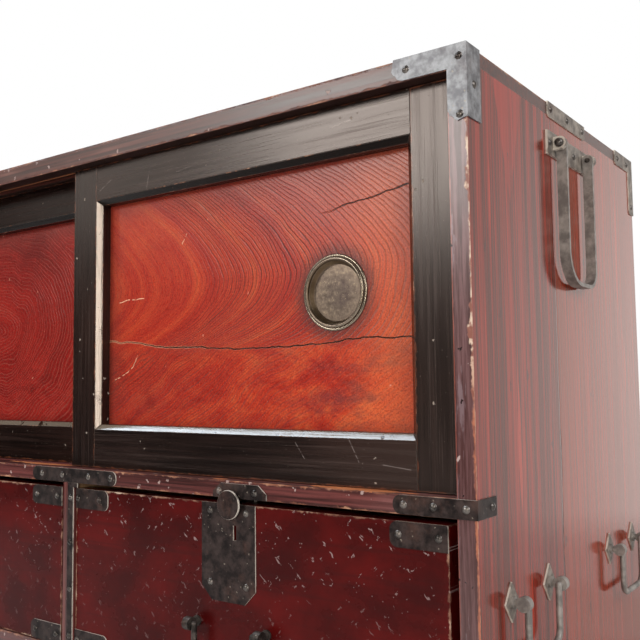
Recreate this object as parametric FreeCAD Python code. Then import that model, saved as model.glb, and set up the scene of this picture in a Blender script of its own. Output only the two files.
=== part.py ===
"""Small tansu chest: a lacquered case with two sliding doors above two drawers, bound with iron.

Millimetres. +X is the chest's right as seen from the front, +Y runs into the chest, +Z is up.
The origin lies on the underside, in the middle of the case's width and depth.
Each piece is its own solid; pieces of one kind that never part share a node.
"""
import FreeCAD, Part

import math
import os

from FreeCAD import Rotation, Vector

# ---------------------------------------------------------------- driving dimensions: the case
CASE_WIDTH = 909.0            # three shaku
CASE_DEPTH = 424.0            # one shaku four sun
CASE_HEIGHT = 530.0           # one shaku seven sun five bu
SIDE_T = 15.5
TOP_T = 17.1
TOP_LAP_T = 11.5              # what is left of the top board where it laps over a side
BOTTOM_T = 18.0
BACK_T = 8.0
BACK_BOARD_COUNT = 3
BOARD_GAP = 0.4               # shrinkage gap between neighbouring back boards
BASE_RAIL_DEPTH = 24.0
RAIL_TOP_SHARE = 0.374        # rail's upper face as a share of the case's height
RAIL_T = 14.7
RAIL_DEPTH = 62.0
FLOOR_T = 10.0                # cupboard floor behind the rail
DIVIDER_T = 18.0

# ---------------------------------------------------------------- driving dimensions: sliding doors
DOOR_RECESS = 13.0            # case front to the front door's face
DOOR_T = 20.5
DOOR_GAP = 2.9                # between the two doors, front to back
DOOR_END_PLAY = 0.4           # closed door's edge to the side board
DOOR_EDGE_PLAY = 0.6          # shoulder of a door to the top board and to the rail
MEETING_OVERLAP = 26.8        # how far the closed doors lap each other
MEETING_STILE_W = 36.0
OUTER_STILE_W = 39.0
TOP_DOOR_RAIL_W = 37.0
BOTTOM_DOOR_RAIL_W = 38.2
BEVEL = 5.2                   # 45 degree bevel round the door's opening
PANEL_DEPTH = 15.0            # door's face to the panel's face
PANEL_T = 5.0
PANEL_LAP = 6.0               # how far the panel reaches behind the frame
TONGUE_OFFSET = 8.5           # door's face to its tongue
TONGUE_T = 8.5
TOP_TONGUE_H = 6.0
BOTTOM_TONGUE_H = 3.0
GROOVE_SIDE_PLAY = 0.5
GROOVE_END_PLAY = 1.2
TENON_T = 7.0
TENON_L = 22.0
TENON_SHOULDER = 7.0          # rail's edge to the tenon's edge
TENON_SETBACK = 1.0           # behind the bevel's foot

# recessed round finger pull (hikite)
PULL_FROM_OUTER_EDGE = 123.0  # door's outer edge to the pull's centre
PULL_RAISE = 2.0              # above the middle of the door's opening
PULL_RIM_D = 65.5
PULL_CUP_D = 56.0             # inside the lip
PULL_BEAD_W = 2.6             # low outer bead of the rim
PULL_BEAD_H = 1.7
PULL_GROOVE_H = 1.0           # bottom of the groove between bead and lip
PULL_LIP_H = 3.2              # how far the lip stands off the panel
PULL_WALL_IN = 3.0            # how far the cup's wall leans in
PULL_WALL_ROUND = 0.8         # between wall and bottom
PULL_FLOAT = 0.3              # cup's bottom in front of the panel's back
PULL_SHEET_T = 1.0
PULL_FIT = 0.1

# ---------------------------------------------------------------- driving dimensions: drawers
DRAWER_RECESS = 2.0
DRAWER_TOP_GAP = 5.5
DRAWER_BOTTOM_GAP = 1.0
DRAWER_PLAY = 2.5             # to the guide on one side and to the divider on the other
DRAWER_DRIFT = -2.0           # both drawers sit a little to the left in their play
DRAWER_FRONT_T = 18.0
DRAWER_SIDE_T = 8.0
DRAWER_BOX_DROP = 10.0        # drawer front's top down to the box sides' top
DRAWER_SIDE_LIFT = 0.3        # box sides clear of the bottom board
DRAWER_FLOOR_T = 6.0
DRAWER_FLOOR_LIFT = 4.0
GUIDE_T = 4.0
GUIDE_H = 20.0
GUIDE_INSET = 12.0            # case front to the guide's front end
STOP_W = 30.0
STOP_H = 12.0
STOP_L = 29.7                 # front to back, as far as the back boards
STOP_PLAY = 0.3
STOP_FROM_DRAWER_END = 40.0

# lock of a drawer
LOCK_PLATE_W = 62.0
LOCK_PLATE_H = 84.0
LOCK_PLATE_CHAMFER = 12.0
LOCK_PLATE_OFFSET = -2.6      # from the drawer's middle
BOLT_OFFSET = 2.4
BOLT_TRAVEL = 8.0
DISC_D = 25.0
DISC_T = 2.0
DISC_ROUND = 0.8
DISC_OVERLAP = 6.9            # how far the disc laps up over the rail at rest
DISC_STANDOFF = 4.0           # lock plate's face to the disc's back: clears the nail heads
SHANK_D = 7.0
SHANK_BELOW_DISC = 7.0        # shank's middle under the disc's: it stays below the rail
SHANK_PLAY = 0.4
TONGUE_PLATE_W = 14.0
TONGUE_PLATE_T = 4.0
TONGUE_REST_GAP = 1.5         # lowered bolt's tip to the rail
TONGUE_TAIL = 9.0
LOCK_CASE_W = 44.0
LOCK_CASE_T = 9.0
LOCK_CASE_PLAY = 0.5
LOCK_CASE_WALL = 2.0          # drawer front's inner face to the tongue plate
LOCK_CASE_FOOT = 12.0         # below the tongue plate
MORTISE_PLAY = 1.0
KEYHOLE_W = 3.6
KEYHOLE_H = 13.0
KEYHOLE_OFFSET = 3.0          # from the bolt's middle
KEYHOLE_FROM_TOP = 18.0       # lock plate's top to the keyhole's top

# ---------------------------------------------------------------- driving dimensions: iron work
IRON_T = 1.2
NAIL_HEAD_R = 3.1
NAIL_HEAD_H = 1.7
NAIL_SHANK_R = 1.1
NAIL_LENGTH = 9.0             # under the head

CORNER_LEG = 57.0             # down the front of the side board
CORNER_ARM = 64.0             # along the top board's front edge
CORNER_SIDE_LEAF = 22.0
CORNER_TOP_LEAF = 16.0
CORNER_MARGIN = 0.4           # leg and arm stay this far outside the board's inner arris
OGEE = 8.5                    # depth of the cusped ends of leg and arm
OGEE_PROFILE = (              # share of the way across, share of the depth
    (0.0, 0.0), (0.03, 0.10), (0.11, 0.42), (0.27, 0.60),
    (0.34, 0.82), (0.48, 1.0), (0.66, 0.90), (1.0, 0.78))
REAR_BRACKET_ARM = 62.0
REAR_BRACKET_W = 14.0
ROUNDING_SHARE = 0.33         # corner radius of a plate as a share of its width
STRAP_END_SHARE = 0.46        # corner radius of a strap's end as a share of its width
SIDE_STRAP_L = 99.0
SIDE_STRAP_H = 13.0
RAIL_STRAP_L = 68.5
RAIL_STRAP_RETURN = 30.5
RAIL_STRAP_MARGIN = 0.3       # strap's edges to the rail's edges
CENTER_STRAP_L = 132.5
CENTER_STRAP_X = 6.3
STRIKE_L = 60.6
STRIKE_H = 12.4
STRIKE_CHAMFER = 9.0          # along the plate
STRIKE_CHAMFER_H = 7.2        # up the plate
STRIKE_X_FROM_DRAWER = 12.1   # drawer's middle to the strike plate's middle
DIVIDER_STRIP_W = 8.6
DIVIDER_STRIP_X = 3.4
DIVIDER_HEAD_W = 15.0
DIVIDER_HEAD_H = 4.4
DRAWER_PLATE_L = 49.0
DRAWER_PLATE_H = 19.5
BASE_CORNER_LEG = 46.0

# domed nails: places measured from an end or an edge of the iron they hold
CORNER_LEG_NAIL = 4.5         # up from the leg's end
CORNER_LEG_NAIL_OUT = 2.5     # outside the middle of the side board's edge
CORNER_ARM_NAIL = 14.0        # from the arm's end
RAIL_STRAP_NAILS = (9.0, 34.1, 60.5)   # from the strap's inner end
RAIL_RETURN_NAIL = 6.5
CENTER_STRAP_NAILS = (15.7, 49.4, 91.0, 124.4)   # from the strap's left end
STRIKE_NAILS = (7.3, 47.6)    # from the plate's left end
STRIKE_NAIL_UP = 5.5
DIVIDER_NAIL_SHARES = (0.08, 0.36, 0.64, 0.91)   # shares of the strip's height
BRACKET_END_NAIL = 8.5
BRACKET_CORNER_NAIL = 6.0     # from the crossing of the bracket's two arms
SIDE_STRAP_NAIL = 7.0
SIDE_STRAP_NAIL_RAISE = 1.0   # above the strap's middle line
BASE_CORNER_NAIL = 8.5
LEFT_PLATE_NAILS = (3.7, 36.4)         # from the drawer's left end
RIGHT_PLATE_NAILS = (7.6, 41.6)        # from the drawer's right end
LOCK_NAIL_OUT = 20.8
LOCK_NAIL_TOP = 7.0           # from the drawer's top
LOCK_NAIL_LOW = 15.0          # from the lock plate's lower end
CARRY_NAIL_END = 5.0
CARRY_NAIL_INNER = 12.0       # either side of the plate's middle

# ---------------------------------------------------------------- driving dimensions: handles
# carrying handle for a pole, one high on each side
CARRY_PLATE_L = 110.0
CARRY_PLATE_H = 21.6
CARRY_PLATE_T = 2.2
CARRY_PLATE_FROM_TOP = 26.5
CARRY_AXIS_FROM_TOP = 36.6
CARRY_AXIS_OUT = 7.85
CARRY_LUG_T = 5.0
CARRY_LUG_R = 6.0
CARRY_PIN_R = 2.5
CARRY_PIN_HEAD_R = 4.2
CARRY_EYE_R = 5.2
CARRY_STRIP_W = 9.3
CARRY_STRIP_T = 3.5
CARRY_BAIL_OUTSIDE = 74.2     # over both legs
CARRY_BAIL_DROP = 126.5       # axis to the outside of the bend
CARRY_BEND_R_FRONT = 31.0     # outside of the bend under the front leg
CARRY_BEND_R_REAR = 20.0      # and under the rear one
PIN_PLAY = 0.05               # radial, in every eye that turns
LUG_SIDE_PLAY = 0.3

# round-bar bails: two low on each side, one on each drawer
BAR_R = 2.7
EYE_R = 5.6
EYE_W = 7.0
BAIL_PIN_R = 2.2
POST_R = 3.0
POST_OUT = 11.0
POST_COLLAR_R = 4.6
POST_COLLAR_T = 2.0
POST_CLENCH_R = 5.2
POST_CLENCH_T = 1.4
BAIL_BEND_R = 11.0
LIFT_SPACING = 77.0
LIFT_DROP = 46.0
LIFT_FROM_TOP = 413.5
LIFT_Y = 120.0                # case's middle to each lifting handle
LIFT_PLATE_HALF = 15.0        # diamond's middle to its upper and lower tips
LIFT_PLATE_HALF_W = 12.0      # diamond's middle to its side tips
LIFT_PLATE_T = 1.5
DRAWER_BAIL_SPACING = 80.0
DRAWER_BAIL_DROP = 36.0
DRAWER_BAIL_FROM_TOP = 105.0  # drawer front's top to the bail's axis

# ---------------------------------------------------------------- places worked out from the sizes
HALF_W = CASE_WIDTH / 2
FRONT = -CASE_DEPTH / 2
BACK = CASE_DEPTH / 2
INNER_X = HALF_W - SIDE_T
CEILING = CASE_HEIGHT - TOP_T
RAIL_TOP = CASE_HEIGHT * RAIL_TOP_SHARE
RAIL_BOTTOM = RAIL_TOP - RAIL_T
BACK_FACE = BACK - BACK_T                     # inner face of the back boards
FLOOR_UNDER = RAIL_TOP - FLOOR_T

DOOR_W = INNER_X + MEETING_OVERLAP / 2 - DOOR_END_PLAY
DOOR_FACE_Y = {"right": FRONT + DOOR_RECESS, "left": FRONT + DOOR_RECESS + DOOR_T + DOOR_GAP}
DOOR_Z0 = RAIL_TOP + DOOR_EDGE_PLAY
DOOR_Z1 = CEILING - DOOR_EDGE_PLAY
DOOR_OUTER_X = INNER_X - DOOR_END_PLAY
DOOR_MEETING_X = DOOR_OUTER_X - DOOR_W
OPEN_X0 = DOOR_MEETING_X + MEETING_STILE_W
OPEN_X1 = DOOR_OUTER_X - OUTER_STILE_W
OPEN_Z0 = DOOR_Z0 + BOTTOM_DOOR_RAIL_W
OPEN_Z1 = DOOR_Z1 - TOP_DOOR_RAIL_W
PULL_X = DOOR_OUTER_X - PULL_FROM_OUTER_EDGE
PULL_Z = (OPEN_Z0 + OPEN_Z1) / 2 + PULL_RAISE

BAY_W = INNER_X - DIVIDER_T / 2
DRAWER_W = BAY_W - GUIDE_T - 2 * DRAWER_PLAY
DRAWER_CENTER_X = {
    "right": DIVIDER_T / 2 + DRAWER_PLAY + DRAWER_W / 2 + DRAWER_DRIFT,
    "left": -DIVIDER_T / 2 - DRAWER_PLAY - DRAWER_W / 2 + DRAWER_DRIFT,
}
DRAWER_FACE = FRONT + DRAWER_RECESS
DRAWER_INNER = DRAWER_FACE + DRAWER_FRONT_T   # inner face of the drawer's front
DRAWER_END = BACK_FACE - STOP_L - STOP_PLAY
DRAWER_TOP = RAIL_BOTTOM - DRAWER_TOP_GAP
DRAWER_BOTTOM = BOTTOM_T + DRAWER_BOTTOM_GAP
LOCK_PLATE_FACE = DRAWER_FACE - IRON_T
DISC_BACK = LOCK_PLATE_FACE - DISC_STANDOFF
DISC_Z = RAIL_BOTTOM + DISC_OVERLAP - DISC_D / 2
SHANK_Z = DISC_Z - SHANK_BELOW_DISC
TONGUE_PLATE_Y = DRAWER_INNER + LOCK_CASE_WALL
TONGUE_TIP = RAIL_BOTTOM - TONGUE_REST_GAP
TONGUE_FOOT = SHANK_Z - TONGUE_TAIL


# ---------------------------------------------------------------- shape helpers
CUT_PAST = 1.0                # how far a cutter runs past the face it opens
SAME_PLACE = 1e-3             # two places closer than this count as one


def box(x0, x1, y0, y1, z0, z1):
    return Part.makeBox(x1 - x0, y1 - y0, z1 - z0, Vector(x0, y0, z0))


def rod(start, direction, radius, length):
    return Part.makeCylinder(radius, length, Vector(*start), Vector(*direction))


def prism(points, push):
    """Extrude a closed polygon of (x, y, z) points by the vector push."""
    corners = [Vector(*p) for p in points]
    face = Part.Face(Part.makePolygon(corners + corners[:1]))
    return face.extrude(Vector(*push))


def plate_xz(outline, face_y, thickness):
    """A plate against the plane y = face_y that stands off it towards the front."""
    return prism([(x, face_y - thickness, z) for x, z in outline], (0, thickness, 0))


def mirrored(shape):
    return shape.mirror(Vector(0, 0, 0), Vector(1, 0, 0))


def pair(shape):
    return [mirrored(shape), shape]


def round_upright_edges(shape, axis, radius, keep):
    """Round the edges that run along axis and whose middle passes the test keep."""
    chosen = []
    for edge in shape.Edges:
        if len(edge.Vertexes) != 2:
            continue
        run = edge.Vertexes[1].Point - edge.Vertexes[0].Point
        across = run.cross(Vector(*axis)).Length
        if run.Length > 0 and across < SAME_PLACE and keep(edge.CenterOfMass):
            chosen.append(edge)
    return shape.makeFillet(radius, chosen)


def ogee(start, end, base):
    """Points of a plate's cusped end, going from start to end and hanging below base."""
    return [(start + (end - start) * along, base - OGEE * down) for along, down in OGEE_PROFILE]


def bent_bar(points, bend_r, radius):
    """A round bar along straight runs joined by tangent arcs of one bend radius."""
    route = [Vector(*p) for p in points]
    edges = []
    start = route[0]
    for before, corner, after in zip(route, route[1:], route[2:]):
        into = (corner - before).normalize()
        out = (after - corner).normalize()
        turn = into.getAngle(out)
        trim = bend_r * math.tan(turn / 2)
        first = corner - into * trim
        last = corner + out * trim
        to_middle = (out - into).normalize()
        middle = corner + to_middle * (bend_r / math.cos(turn / 2) - bend_r)
        edges.append(Part.LineSegment(start, first).toShape())
        edges.append(Part.Arc(first, middle, last).toShape())
        start = last
    edges.append(Part.LineSegment(start, route[-1]).toShape())
    path = Part.Wire(edges)
    ring = Part.Wire(Part.makeCircle(radius, route[0], route[1] - route[0]))
    return path.makePipeShell([ring], True, True)


# ---------------------------------------------------------------- nails
def nail(x, y, z, outward):
    """A domed nail whose head sits on the plate face at (x, y, z) and whose shank runs inwards."""
    cap_r = (NAIL_HEAD_R ** 2 + NAIL_HEAD_H ** 2) / (2 * NAIL_HEAD_H)
    ball = Part.makeSphere(cap_r, Vector(0, 0, NAIL_HEAD_H - cap_r))
    head = ball.common(box(-cap_r, cap_r, -cap_r, cap_r, 0, NAIL_HEAD_H))
    shank = rod((0, 0, -NAIL_LENGTH), (0, 0, 1), NAIL_SHANK_R, NAIL_LENGTH)
    whole = head.fuse(shank).removeSplitter()
    return placed(whole, x, y, z, outward)


def nail_hole(x, y, z, outward):
    drill_bit = rod((0, 0, -NAIL_LENGTH), (0, 0, 1), NAIL_SHANK_R, NAIL_LENGTH + CUT_PAST)
    return placed(drill_bit, x, y, z, outward)


def placed(shape, x, y, z, outward):
    moved = shape.copy()
    moved.Placement = FreeCAD.Placement(Vector(x, y, z), Rotation(Vector(0, 0, 1), Vector(*outward)))
    return moved


def drill(shape, holes):
    """Cut those of the holes that meet the shape."""
    near = [h for h in holes if h.BoundBox.intersect(shape.BoundBox)]
    return shape.cut(near) if near else shape


# ---------------------------------------------------------------- iron plates of the case
def front_corner_plate():
    """Three leaves round the top right corner: front, side and top."""
    y = FRONT - IRON_T
    out = HALF_W + IRON_T
    up = CASE_HEIGHT + IRON_T
    inner_x = INNER_X + CORNER_MARGIN
    inner_z = CEILING + CORNER_MARGIN
    leg_z = CASE_HEIGHT - CORNER_LEG
    leg = ogee(inner_x, out, leg_z + OGEE)
    arm = [(x, z) for z, x in ogee(inner_z, up, out - CORNER_ARM + OGEE)]
    front = [(out, up)] + arm[::-1] + [(inner_x, inner_z)] + leg
    front_leaf = prism([(x, y, z) for x, z in front], (0, IRON_T, 0))
    side_leaf = box(HALF_W, out, y, FRONT + CORNER_SIDE_LEAF, leg[-1][1], up)
    top_leaf = box(arm[-1][0], out, y, FRONT + CORNER_TOP_LEAF, CASE_HEIGHT, up)
    return front_leaf.fuse([side_leaf, top_leaf]).removeSplitter()


def rear_corner_bracket():
    """An L on the side's upper rear corner with a leaf over the top and one down the back."""
    out = HALF_W + IRON_T
    up = CASE_HEIGHT + IRON_T
    arm = box(HALF_W, out, BACK - REAR_BRACKET_ARM, BACK + IRON_T, CASE_HEIGHT - REAR_BRACKET_W, up)
    leg = box(HALF_W, out, BACK - REAR_BRACKET_W, BACK + IRON_T, CASE_HEIGHT - REAR_BRACKET_ARM, up)
    top_leaf = box(HALF_W - REAR_BRACKET_W, out, BACK - REAR_BRACKET_ARM, BACK + IRON_T, CASE_HEIGHT, up)
    back_leaf = box(HALF_W - REAR_BRACKET_W, out, BACK, BACK + IRON_T,
                    CASE_HEIGHT - REAR_BRACKET_ARM, up)
    whole = arm.fuse([leg, top_leaf, back_leaf]).removeSplitter()
    leg_end = CASE_HEIGHT - REAR_BRACKET_ARM
    arm_end = BACK - REAR_BRACKET_ARM
    return round_upright_edges(
        whole, (1, 0, 0), REAR_BRACKET_W * ROUNDING_SHARE,
        lambda c: c.x > HALF_W and (abs(c.z - leg_end) < SAME_PLACE and c.y < BACK
                                    or abs(c.y - arm_end) < SAME_PLACE and c.z < CASE_HEIGHT))


def side_top_strap():
    """A strap over the joint of top and side boards, in the middle of the depth."""
    out = HALF_W + IRON_T
    up = CASE_HEIGHT + IRON_T
    half = SIDE_STRAP_L / 2
    side_leaf = box(HALF_W, out, -half, half, CASE_HEIGHT - SIDE_STRAP_H, up)
    side_leaf = round_upright_edges(side_leaf, (1, 0, 0), SIDE_STRAP_H * ROUNDING_SHARE,
                                    lambda c: c.z < CASE_HEIGHT)
    top_leaf = box(HALF_W - SIDE_STRAP_H, out, -half, half, CASE_HEIGHT, up)
    return side_leaf.fuse(top_leaf).removeSplitter()


def rail_corner_strap():
    """A strap along the rail's right end that turns onto the side."""
    z0 = RAIL_BOTTOM + RAIL_STRAP_MARGIN
    z1 = RAIL_TOP - RAIL_STRAP_MARGIN
    y = FRONT - IRON_T
    out = HALF_W + IRON_T
    left = HALF_W - RAIL_STRAP_L
    front_leaf = box(left, out, y, FRONT, z0, z1)
    front_leaf = round_upright_edges(front_leaf, (0, 1, 0), (z1 - z0) * STRAP_END_SHARE,
                                     lambda c: c.x < HALF_W)
    side_leaf = box(HALF_W, out, y, FRONT + RAIL_STRAP_RETURN, z0, z1)
    return front_leaf.fuse(side_leaf).removeSplitter()


def rail_center_strap():
    z0 = RAIL_BOTTOM + RAIL_STRAP_MARGIN
    z1 = RAIL_TOP - RAIL_STRAP_MARGIN
    half = CENTER_STRAP_L / 2
    strap = box(CENTER_STRAP_X - half, CENTER_STRAP_X + half, FRONT - IRON_T, FRONT, z0, z1)
    return round_upright_edges(strap, (0, 1, 0), (z1 - z0) * STRAP_END_SHARE, lambda c: True)


def strike_plate(drawer_x):
    """The plate on the rail that a lock's disc slides over."""
    x = drawer_x + STRIKE_X_FROM_DRAWER
    half = STRIKE_L / 2
    z0 = RAIL_BOTTOM
    z1 = z0 + STRIKE_H
    outline = [(x - half, z0), (x + half, z0), (x + half, z1 - STRIKE_CHAMFER_H),
               (x + half - STRIKE_CHAMFER, z1), (x - half + STRIKE_CHAMFER, z1),
               (x - half, z1 - STRIKE_CHAMFER_H)]
    return plate_xz(outline, FRONT, IRON_T)


def divider_strip():
    """A narrow strip on the divider's front edge with a wider head under the rail."""
    x0 = DIVIDER_STRIP_X - DIVIDER_STRIP_W / 2
    strip = box(x0, x0 + DIVIDER_STRIP_W, FRONT - IRON_T, FRONT, BOTTOM_T, RAIL_BOTTOM)
    head = box(x0, x0 + DIVIDER_HEAD_W, FRONT - IRON_T, FRONT, RAIL_BOTTOM - DIVIDER_HEAD_H, RAIL_BOTTOM)
    return strip.fuse(head).removeSplitter()


def base_corner_plate():
    """An L on the lower right front corner that turns onto the side."""
    out = HALF_W + IRON_T
    y = FRONT - IRON_T
    leg = box(INNER_X, out, y, FRONT, 0, BASE_CORNER_LEG)
    arm = box(out - BASE_CORNER_LEG, out, y, FRONT, 0, BOTTOM_T)
    arm = round_upright_edges(arm, (0, 1, 0), BOTTOM_T * ROUNDING_SHARE,
                              lambda c: c.x < INNER_X and c.z > 0)
    side_leaf = box(HALF_W, out, y, FRONT + CORNER_SIDE_LEAF, 0, BASE_CORNER_LEG)
    return leg.fuse([arm, side_leaf]).removeSplitter()


def case_nail_places():
    """(x, y, z, outward) of every domed nail on the case's right half, then its middle."""
    y = FRONT - IRON_T
    x = HALF_W + IRON_T
    front = (0, -1, 0)
    side = (1, 0, 0)
    rail_z = (RAIL_TOP + RAIL_BOTTOM) / 2
    top_z = (CEILING + CASE_HEIGHT) / 2
    edge_x = (INNER_X + HALF_W) / 2
    strap_z = CASE_HEIGHT - SIDE_STRAP_H / 2 + SIDE_STRAP_NAIL_RAISE
    corner_x = edge_x + CORNER_LEG_NAIL_OUT
    right = [(corner_x, y, CASE_HEIGHT - CORNER_LEG + CORNER_LEG_NAIL, front),
             (corner_x, y, top_z, front),
             (HALF_W - CORNER_ARM + CORNER_ARM_NAIL, y, top_z, front),
             (x, FRONT + CORNER_SIDE_LEAF / 2, CASE_HEIGHT - CORNER_LEG / 2, side),
             (x, FRONT + RAIL_STRAP_RETURN - RAIL_RETURN_NAIL, rail_z, side),
             (edge_x, y, BASE_CORNER_LEG - BASE_CORNER_NAIL, front),
             (HALF_W - BASE_CORNER_LEG + BASE_CORNER_NAIL, y, BOTTOM_T / 2, front),
             (x, FRONT + CORNER_SIDE_LEAF / 2, BASE_CORNER_LEG / 2, side),
             (x, BACK - REAR_BRACKET_W / 2, CASE_HEIGHT - REAR_BRACKET_ARM + BRACKET_END_NAIL, side),
             (x, BACK - REAR_BRACKET_ARM + BRACKET_END_NAIL, CASE_HEIGHT - REAR_BRACKET_W / 2, side),
             (x, BACK - REAR_BRACKET_W - BRACKET_CORNER_NAIL, CASE_HEIGHT - REAR_BRACKET_W / 2, side)]
    right += [(HALF_W - RAIL_STRAP_L + s, y, rail_z, front) for s in RAIL_STRAP_NAILS]
    strap_end = SIDE_STRAP_L / 2 - SIDE_STRAP_NAIL
    right += [(x, s, strap_z, side) for s in (-strap_end, 0.0, strap_end)]
    strap_left = CENTER_STRAP_X - CENTER_STRAP_L / 2
    middle = [(strap_left + s, y, rail_z, front) for s in CENTER_STRAP_NAILS]
    for drawer_x in DRAWER_CENTER_X.values():
        strike_left = drawer_x + STRIKE_X_FROM_DRAWER - STRIKE_L / 2
        middle += [(strike_left + s, y, RAIL_BOTTOM + STRIKE_NAIL_UP, front) for s in STRIKE_NAILS]
    strip_span = RAIL_BOTTOM - BOTTOM_T
    middle += [(DIVIDER_STRIP_X, y, BOTTOM_T + strip_span * share, front) for share in DIVIDER_NAIL_SHARES]
    left = [(-px, py, pz, (-out[0], out[1], out[2])) for px, py, pz, out in right]
    return right + left + middle


# ---------------------------------------------------------------- wooden case
def lock_mortises():
    """Where the two bolts rise into the rail."""
    half_w = TONGUE_PLATE_W / 2 + MORTISE_PLAY
    cuts = []
    for drawer_x in DRAWER_CENTER_X.values():
        x = drawer_x + BOLT_OFFSET
        cuts.append(box(x - half_w, x + half_w, TONGUE_PLATE_Y - MORTISE_PLAY,
                        TONGUE_PLATE_Y + TONGUE_PLATE_T + MORTISE_PLAY,
                        RAIL_BOTTOM, TONGUE_TIP + BOLT_TRAVEL + MORTISE_PLAY))
    return cuts


def door_grooves(z0, z1):
    """The two doors' grooves, from side board to side board, between two heights."""
    cuts = []
    for face_y in DOOR_FACE_Y.values():
        y0 = face_y + TONGUE_OFFSET - GROOVE_SIDE_PLAY
        y1 = face_y + TONGUE_OFFSET + TONGUE_T + GROOVE_SIDE_PLAY
        cuts.append(box(-INNER_X, INNER_X, y0, y1, z0, z1))
    return cuts


def side_board(holes):
    return box(INNER_X, HALF_W, FRONT, BACK, 0, CASE_HEIGHT - TOP_LAP_T).cut(holes)


def top_board():
    board = box(-HALF_W, HALF_W, FRONT, BACK, CEILING, CASE_HEIGHT)
    laps = pair(box(INNER_X, HALF_W, FRONT, BACK, CEILING, CASE_HEIGHT - TOP_LAP_T))
    return board.cut(laps + door_grooves(CEILING, CEILING + TOP_TONGUE_H + GROOVE_END_PLAY))


def upper_rail():
    rail = box(-INNER_X, INNER_X, FRONT, FRONT + RAIL_DEPTH, RAIL_BOTTOM, RAIL_TOP)
    return rail.cut(door_grooves(RAIL_TOP - BOTTOM_TONGUE_H, RAIL_TOP) + lock_mortises())


def drawer_divider():
    half = DIVIDER_T / 2
    board = box(-half, half, FRONT, BACK_FACE, BOTTOM_T, FLOOR_UNDER)
    return board.cut(box(-half, half, FRONT, FRONT + RAIL_DEPTH, RAIL_BOTTOM, FLOOR_UNDER))


def back_boards():
    height = CEILING / BACK_BOARD_COUNT
    return [box(-INNER_X, INNER_X, BACK_FACE, BACK, i * height + (BOARD_GAP if i else 0), (i + 1) * height)
            for i in range(BACK_BOARD_COUNT)]


def drawer_guides():
    y0 = FRONT + GUIDE_INSET
    return pair(box(INNER_X - GUIDE_T, INNER_X, y0, BACK_FACE, BOTTOM_T, BOTTOM_T + GUIDE_H))


def drawer_stops():
    stops = []
    for drawer_x in DRAWER_CENTER_X.values():
        for side in (-1, 1):
            x = drawer_x + side * (DRAWER_W / 2 - STOP_FROM_DRAWER_END)
            stops.append(box(x - STOP_W / 2, x + STOP_W / 2, DRAWER_END + STOP_PLAY, BACK_FACE,
                             BOTTOM_T, BOTTOM_T + STOP_H))
    return stops


# ---------------------------------------------------------------- sliding doors
def door_ring(face_y):
    """The whole door frame as one ring, with its bevel, tongues and panel rebate."""
    back_y = face_y + DOOR_T
    tongue_y0 = face_y + TONGUE_OFFSET
    body = box(DOOR_MEETING_X, DOOR_OUTER_X, face_y, back_y, DOOR_Z0, DOOR_Z1)
    tongue = box(DOOR_MEETING_X, DOOR_OUTER_X, tongue_y0, tongue_y0 + TONGUE_T,
                 DOOR_Z0 - BOTTOM_TONGUE_H, DOOR_Z1 + TOP_TONGUE_H)
    wide = [(OPEN_X0, OPEN_Z0), (OPEN_X1, OPEN_Z0), (OPEN_X1, OPEN_Z1), (OPEN_X0, OPEN_Z1)]
    narrow = inset_corners(-BEVEL)
    wires = []
    for corners, y in ((wide, face_y), (narrow, face_y + BEVEL)):
        points = [Vector(x, y, z) for x, z in corners]
        wires.append(Part.makePolygon(points + points[:1]))
    bevel = Part.makeLoft(wires, True, True)
    (x0, z0), _, (x1, z1), _ = narrow
    through = box(x0, x1, face_y, back_y, z0, z1)
    (x0, z0), _, (x1, z1), _ = inset_corners(PANEL_LAP - BEVEL)
    rebate = box(x0, x1, face_y + PANEL_DEPTH, back_y, z0, z1)
    return body.fuse(tongue).cut([bevel, through, rebate])


def inset_corners(out):
    """Corners of the door's opening, moved outwards by out."""
    return [(OPEN_X0 - out, OPEN_Z0 - out), (OPEN_X1 + out, OPEN_Z0 - out),
            (OPEN_X1 + out, OPEN_Z1 + out), (OPEN_X0 - out, OPEN_Z1 + out)]


def stile_zone(edge_x, joint_x, face_y):
    """A stile's share of the ring: up to the joint line, and its bevel up to the mitres."""
    way = 1 if joint_x > edge_x else -1
    z0 = DOOR_Z0 - BOTTOM_TONGUE_H
    z1 = DOOR_Z1 + TOP_TONGUE_H
    tip_x = joint_x + way * BEVEL
    outline = [(edge_x, z0), (joint_x, z0), (joint_x, OPEN_Z0), (tip_x, OPEN_Z0 + BEVEL),
               (tip_x, OPEN_Z1 - BEVEL), (joint_x, OPEN_Z1), (joint_x, z1), (edge_x, z1)]
    return prism([(x, face_y, z) for x, z in outline], (0, DOOR_T, 0))


def rail_tenons(face_y):
    """The four tenons that reach from the rails into the stiles."""
    y0 = face_y + BEVEL + TENON_SETBACK
    tenons = []
    for z0, z1 in ((DOOR_Z0, OPEN_Z0), (OPEN_Z1, DOOR_Z1)):
        for joint_x, way in ((OPEN_X0, -1), (OPEN_X1, 1)):
            x0, x1 = sorted((joint_x, joint_x + way * TENON_L))
            tenons.append(box(x0, x1, y0, y0 + TENON_T, z0 + TENON_SHOULDER, z1 - TENON_SHOULDER))
    return tenons


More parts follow.
